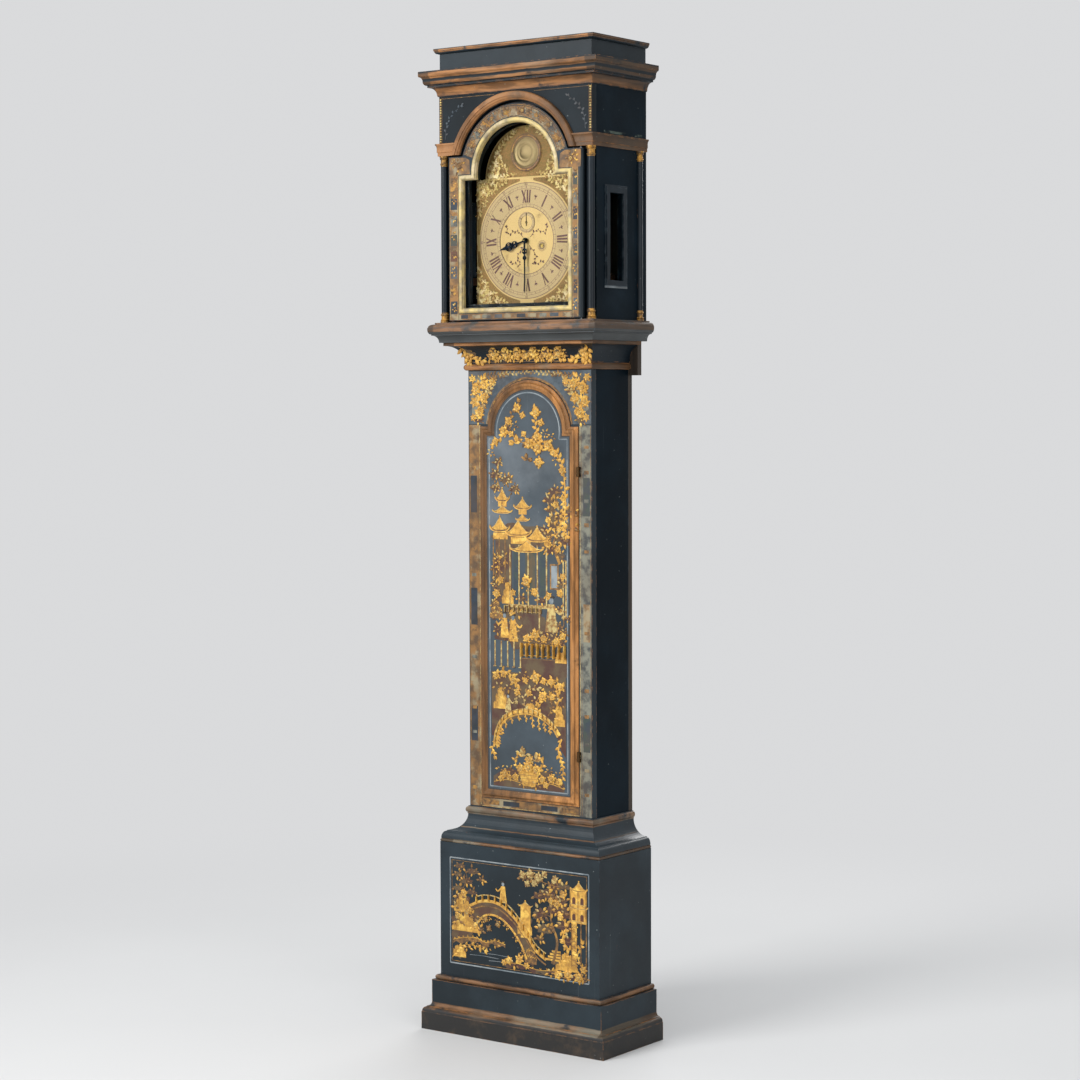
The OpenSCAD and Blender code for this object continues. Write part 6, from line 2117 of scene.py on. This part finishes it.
@dataclass
class Case:
    """Materials of the carried-over CAD nodes.

    Attributes:
        nodes: CAD objects by node name.
    """

    nodes: dict[str, Object]

    def finishes(self) -> dict[str, object]:
        """Finish of each CAD node.

        Returns:
            The finishes by node name.
        """
        brass, hinge = Metal("brass", Tone.BRASS), Metal("hinge_brass", Tone.UMBER, 0.5, 1.0)
        japan = Lacquer("japan", sheen=0.06, worn=Tone.GREY_BLUE)
        front = Lacquer("japan_front", ground=Tone.FRONT, worn=Tone.GREY_BLUE)
        # The lip's bands darken towards the left as painted shade.
        lip = Lacquer(
            "door_lip", ground=Tone.UMBER, worn=Tone.COPPER, wear=0.9, bands=((0.0, 3.0),),
            rub=1.0, grain=(40.0, 40.0, 7.0), ash=0.1, band_colour=Tone.AMBER, shade=(0.1, -0.12))
        # Where a finish sets sides, its bands on the side faces carry painted shade.
        made: dict[str, object] = {
            "backboard": Timber("backboard_oak", tone=Tone.DARK_OAK, seams=(-0.087, 0.052)),
            "seatboard": Timber("seat_oak"),
            "trunk_sides": japan, "base_box": front,
            "trunk_front": Lacquer("trunk_front_japan", ground=Tone.FRONT, wear=0.7),
            "hood_sides": Lacquer("hood_side_japan", sheen=0.06, worn=Tone.SAGE, wear=0.8,
                                  bands=((2.1975, 2.2035),), band_colour=Tone.MOSS, rub=0.3),
            "hood_front": Lacquer("frieze_japan", ground=Tone.SOOT, worn=Tone.GREY_BLUE,
                                  sheen=0.14),
            "hood_caddy": Lacquer("caddy", ground=Tone.FRONT, worn=Tone.GREY_BLUE,
                                  bands=((2.4165, 2.4235),), sides=0.222),
            "hood_columns": Lacquer("columns", wear=0.3, gloss=0.3),
            "dial_mask": Lacquer("mask", wear=0.2),
            "hood_door": Lacquer("hood_door_japan", ground=Tone.FRONT, wear=0.6),
            # The door's field carries painted sheen high up on it.
            "trunk_door": Lacquer("trunk_door_japan", ground=Tone.FIELD, wear=0.3, sheen=0.37,
                                  veil=(1.2, 1.5)),
            "trunk_door_lip": lip,
            # Painted shade darkens the arch moulding's bands towards the right and on its side
            # faces.
            "hood_arch_moulding": Lacquer("arch_moulding", ground=Tone.BARK, wear=0.9,
                                          bands=((0.0, 3.0),), rub=0.9, sides=0.231, ash=0.4,
                                          grain=(16.0, 16.0, 16.0), shade=(-0.08, 0.21)),
            "throat_moulding": Lacquer(
                "throat", bands=((1.640, 1.6555), (1.6995, 1.7105)), sides=0.19),
            "waist_moulding": Lacquer(
                "waist", ground=Tone.FRONT, sheen=0.28, gloss=0.3, sides=0.2, worn=Tone.GREY_BLUE,
                bands=((0.4695, 0.4785), (0.5385, 0.5565), (0.5055, 0.5075)),
                band_colour=Tone.RUSSET, rub=0.8),
            "plinth": Lacquer(
                "plinth_japan", ground=Tone.FRONT, wear=0.9, foot=0.0665, sides=0.255,
                bands=((0.1235, 0.1345), (0.051, 0.0665)), band_colour=Tone.RUSSET, rub=0.75),
            "hood_foot_moulding": Lacquer(
                "hood_foot", ground=Tone.FOOT, wear=0.7, sheen=0.4, worn=Tone.GREY_BLUE,
                bands=((1.7345, 1.7585),), band_colour=Tone.RUSSET, sides=0.232, ash=0.2),
            # Painted shade darkens the cornice's bands towards the right and on its side faces.
            "hood_cornice": Lacquer(
                "cornice", ground=Tone.SOOT, wear=0.7, sides=0.232, rub=0.85, ash=0.3,
                shade=(-0.05, 0.45),
                bands=((2.3105, 2.3295), (2.3375, 2.3445), (2.3515, 2.3655))),
            # The pale band at the window's sill is a painted highlight.
            "window_frames": Lacquer("window_frame_japan", worn=Tone.GREY_BLUE, wear=0.9, ash=0.0,
                                     bands=((1.832, 1.837),), band_colour=Tone.PEARL, rub=0.9),
            "column_caps": Gilding("cap_gilt", bright=Tone.OLD_GOLD, dull=Tone.UMBER, metal=0.5,
                                   scale=90.0, loss=0.5, rough=0.38),
            "hood_door_bead": Gilding("bead_gilt", bright=Tone.PALE_GOLD, dull=Tone.TAN,
                                      metal=0.15, scale=40.0, loss=0.0, rough=0.42, shade=0.25,
                                      glint=Tone.CREAM),
            "dial_mounts": Gilding("mount_gilt", bright=Tone.PALE_GOLD, dull=Tone.BROWN_GOLD,
                                   metal=0.6, scale=110.0, loss=0.2, rough=0.4,
                                   glint=Tone.CREAM),
            "window_glass": Pane("window_pane"), "hood_door_glass": Pane("door_pane"),
            "dial_plate": Metal("dial_brass", Tone.DIAL_GOLD, rough=0.5, spots=0.5,
                                grain=(500.0, 40.0, 40.0), metal=0.6),
            "dial_rings": Metal("ring_silvered", Tone.SILVERED, rough=0.55, spots=0.5,
                                metal=0.5),
            "pendulum_bob": Metal("bob_brass", Tone.BRASS, spots=0.5, centre=(0.0, 1.029)),
            "bell": Metal("bell_metal", Tone.OLD_GOLD, rough=0.4, spots=0.7),
            "trunk_door_hinges": hinge, "trunk_hinge_leaves": hinge,
        }
        for name in ("minute_hand", "hour_hand", "seconds_hand"):
            made[name] = Metal("blued_" + name, Tone.BLUED, rough=0.3)
        for name in ("pendulum_rod", "anchor", "hammer", "hood_door_pins"):
            made[name] = Metal("steel_" + name, Tone.STEEL, rough=0.35)
        for name in self.nodes:
            made.setdefault(name, brass)
        return made

    def dress(self) -> None:
        """Gives every CAD node its material."""
        built: dict[str, Material] = {}
        for name, finish in self.finishes().items():
            node = self.nodes[name]
            if finish.name not in built:
                built[finish.name] = finish.build()
            if not node.data.materials:
                node.data.materials.append(None)
            for slot in node.material_slots:
                slot.material = built[finish.name]
        LOG.info("dressed %d nodes with %d materials", len(self.nodes), len(built))


@dataclass
class Lines:
    """The gut lines of the two weights.

    Attributes:
        joints: The record's joints by name; not used.
    """

    joints: dict[str, dict]

    def run(self, name: str) -> None:
        """Builds one line as twisted strands on the case, in place of the CAD line.

        Args:
            name: The line's node.
        """
        low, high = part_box(name)
        radius = (high.y - low.y) / 2
        bm = bmesh.new()
        for x in (low.x + radius, high.x - radius):
            self._strand(bm, x, (low.y + high.y) / 2, low.z, high.z, radius)
        strands = name + "_strands"
        piece = add_object(strands, closed(bm, strands), Gut("gut").build())
        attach(piece, "case")
        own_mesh(piece)
        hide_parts(name)

    def _strand(self, bm: BMesh, x: float, y: float, z0: float, z1: float, radius: float) -> None:
        """Adds one closed line to the mesh, of three plies twisted together.

        Args:
            bm: The mesh.
            x, y: Its middle.
            z0, z1: Its ends.
            radius: Its radius.
        """
        count, twist, rows = 220, 0.9, []
        for i in range(count + 1):
            z = z0 + (z1 - z0) * i / count
            row = []
            for a in round_angles(12):
                r = radius * (0.86 + 0.14 * cos(3 * a))
                row.append(bm.verts.new((x + r * cos(a + i * twist),
                                         y + r * sin(a + i * twist), z)))
            rows.append(row)
        shell(bm, rows)


@dataclass(frozen=True)
class Studio:
    """Camera, pale floor and soft lamps.

    Attributes:
        backdrop: Colour that the camera sees behind the clock.
        middle: Place that the lamps aim at.
    """

    backdrop: Colour = (0.70, 0.705, 0.715)
    middle: Point3 = (0.0, 0.0, 1.25)

    def camera(self) -> None:
        """Places the camera fitted to the photograph's edges."""
        yaw, pitch, roll = (radians(v) for v in (36.41, -3.01, -0.17))
        forward = Vector((-sin(yaw) * cos(pitch), cos(yaw) * cos(pitch), sin(pitch)))
        right = Vector((cos(yaw), sin(yaw), 0.0))
        up = right.cross(forward)
        side = cos(roll) * right + sin(roll) * up
        rise = -sin(roll) * right + cos(roll) * up
        data = bpy.data.cameras.new("camera")
        data.lens = 85.4
        data.sensor_width = 36.0
        camera = link_object("camera", data)
        turn = Matrix((side, rise, -forward)).transposed().to_4x4()
        camera.matrix_world = Matrix.Translation((3.7224, -5.0418, 1.5539)) @ turn
        bpy.context.scene.camera = camera

    def floor(self) -> None:
        """A wide pale floor that fades into the backdrop."""
        bm = bmesh.new()
        bmesh.ops.create_circle(bm, cap_ends=True, segments=96, radius=60.0)
        mesh = bpy.data.meshes.new("floor")
        bm.to_mesh(mesh)
        bm.free()
        g = Graph("floor_paint")
        g.paint(g.mix(g.noise(0.8), (0.6, 0.594, 0.588), (0.655, 0.648, 0.64)), 0.75)
        g.give(Specular_IOR_Level=0.2)
        away = g.node("VectorMath", {0: g.coords}, operation="LENGTH").outputs["Value"]
        glow = g.node("Emission", {"Color": self.backdrop})
        blend = g.node(
            "MixShader", {0: g.step(away, 1.0, 3.2), 1: g.shader.outputs[0], 2: glow.outputs[0]})
        plug(g.tree, g.tree.nodes["Material Output"].inputs["Surface"], blend.outputs[0])
        add_object("floor", mesh, g.material)

    def lamp(self, name: str, place: Point3, size: float, power: float) -> None:
        """A soft square lamp aimed at the middle of the clock.

        Args:
            name: Its name.
            place: Where it stands.
            size: Its side in metres.
            power: Its power in watts.
        """
        data = bpy.data.lights.new(name, "AREA")
        data.shape = "SQUARE"
        data.size = size
        data.energy = power
        lamp = link_object(name, data)
        lamp.location = place
        aim = Vector(self.middle) - Vector(place)
        lamp.rotation_euler = aim.to_track_quat("-Z", "Y").to_euler()

    def world(self) -> None:
        """Even ambient light, with the backdrop for the camera, the glass and reflections."""
        world = bpy.data.worlds.new("studio")
        world.use_nodes = True
        tree = world.node_tree
        plain = tree.nodes["Background"]
        plug(tree, plain.inputs["Color"], (0.86, 0.93, 1.0))
        plug(tree, plain.inputs["Strength"], 0.38)
        seen = add_node(tree, "ShaderNodeBackground", {"Color": self.backdrop})
        path = add_node(tree, "ShaderNodeLightPath").outputs
        ray = path["Is Camera Ray"]
        for other in ("Is Transmission Ray", "Is Glossy Ray"):
            ray = add_node(tree, "ShaderNodeMath", {0: ray, 1: path[other]},
                           operation="MAXIMUM").outputs[0]
        mix = add_node(
            tree, "ShaderNodeMixShader", {0: ray, 1: plain.outputs[0], 2: seen.outputs[0]})
        plug(tree, tree.nodes["World Output"].inputs["Surface"], mix.outputs[0])
        bpy.context.scene.world = world

    def build(self) -> None:
        """Sets up the whole studio."""
        bpy.context.scene.view_settings.view_transform = "Standard"
        self.camera()
        self.floor()
        for name, place, size, power in (
                ("key", (-1.6, -5.2, 3.6), 2.6, 300.0), ("fill", (4.6, -2.2, 2.2), 3.0, 70.0),
                ("top", (0.4, -0.6, 5.2), 2.5, 90.0), ("rear", (-1.5, 4.5, 3.2), 3.0, 110.0)):
            self.lamp(name, place, size, power)
        self.world()


def main() -> None:
    """Builds the whole scene."""
    logging.basicConfig(level=logging.INFO)
    Studio().build()
    joints = {j["name"]: j for j in frame["record"]["behaviour"]["joints"]}
    Case(frame["nodes"]).dress()
    lines = Lines(joints)
    for name in ("going_line", "strike_line"):
        lines.run(name)
    for work in (DoorPainting(), BasePainting(), TrunkBorder(), ThroatPainting(),
                 HoodPainting(), Dial()):
        work.build()


if __name__ == "__main__":
    main()
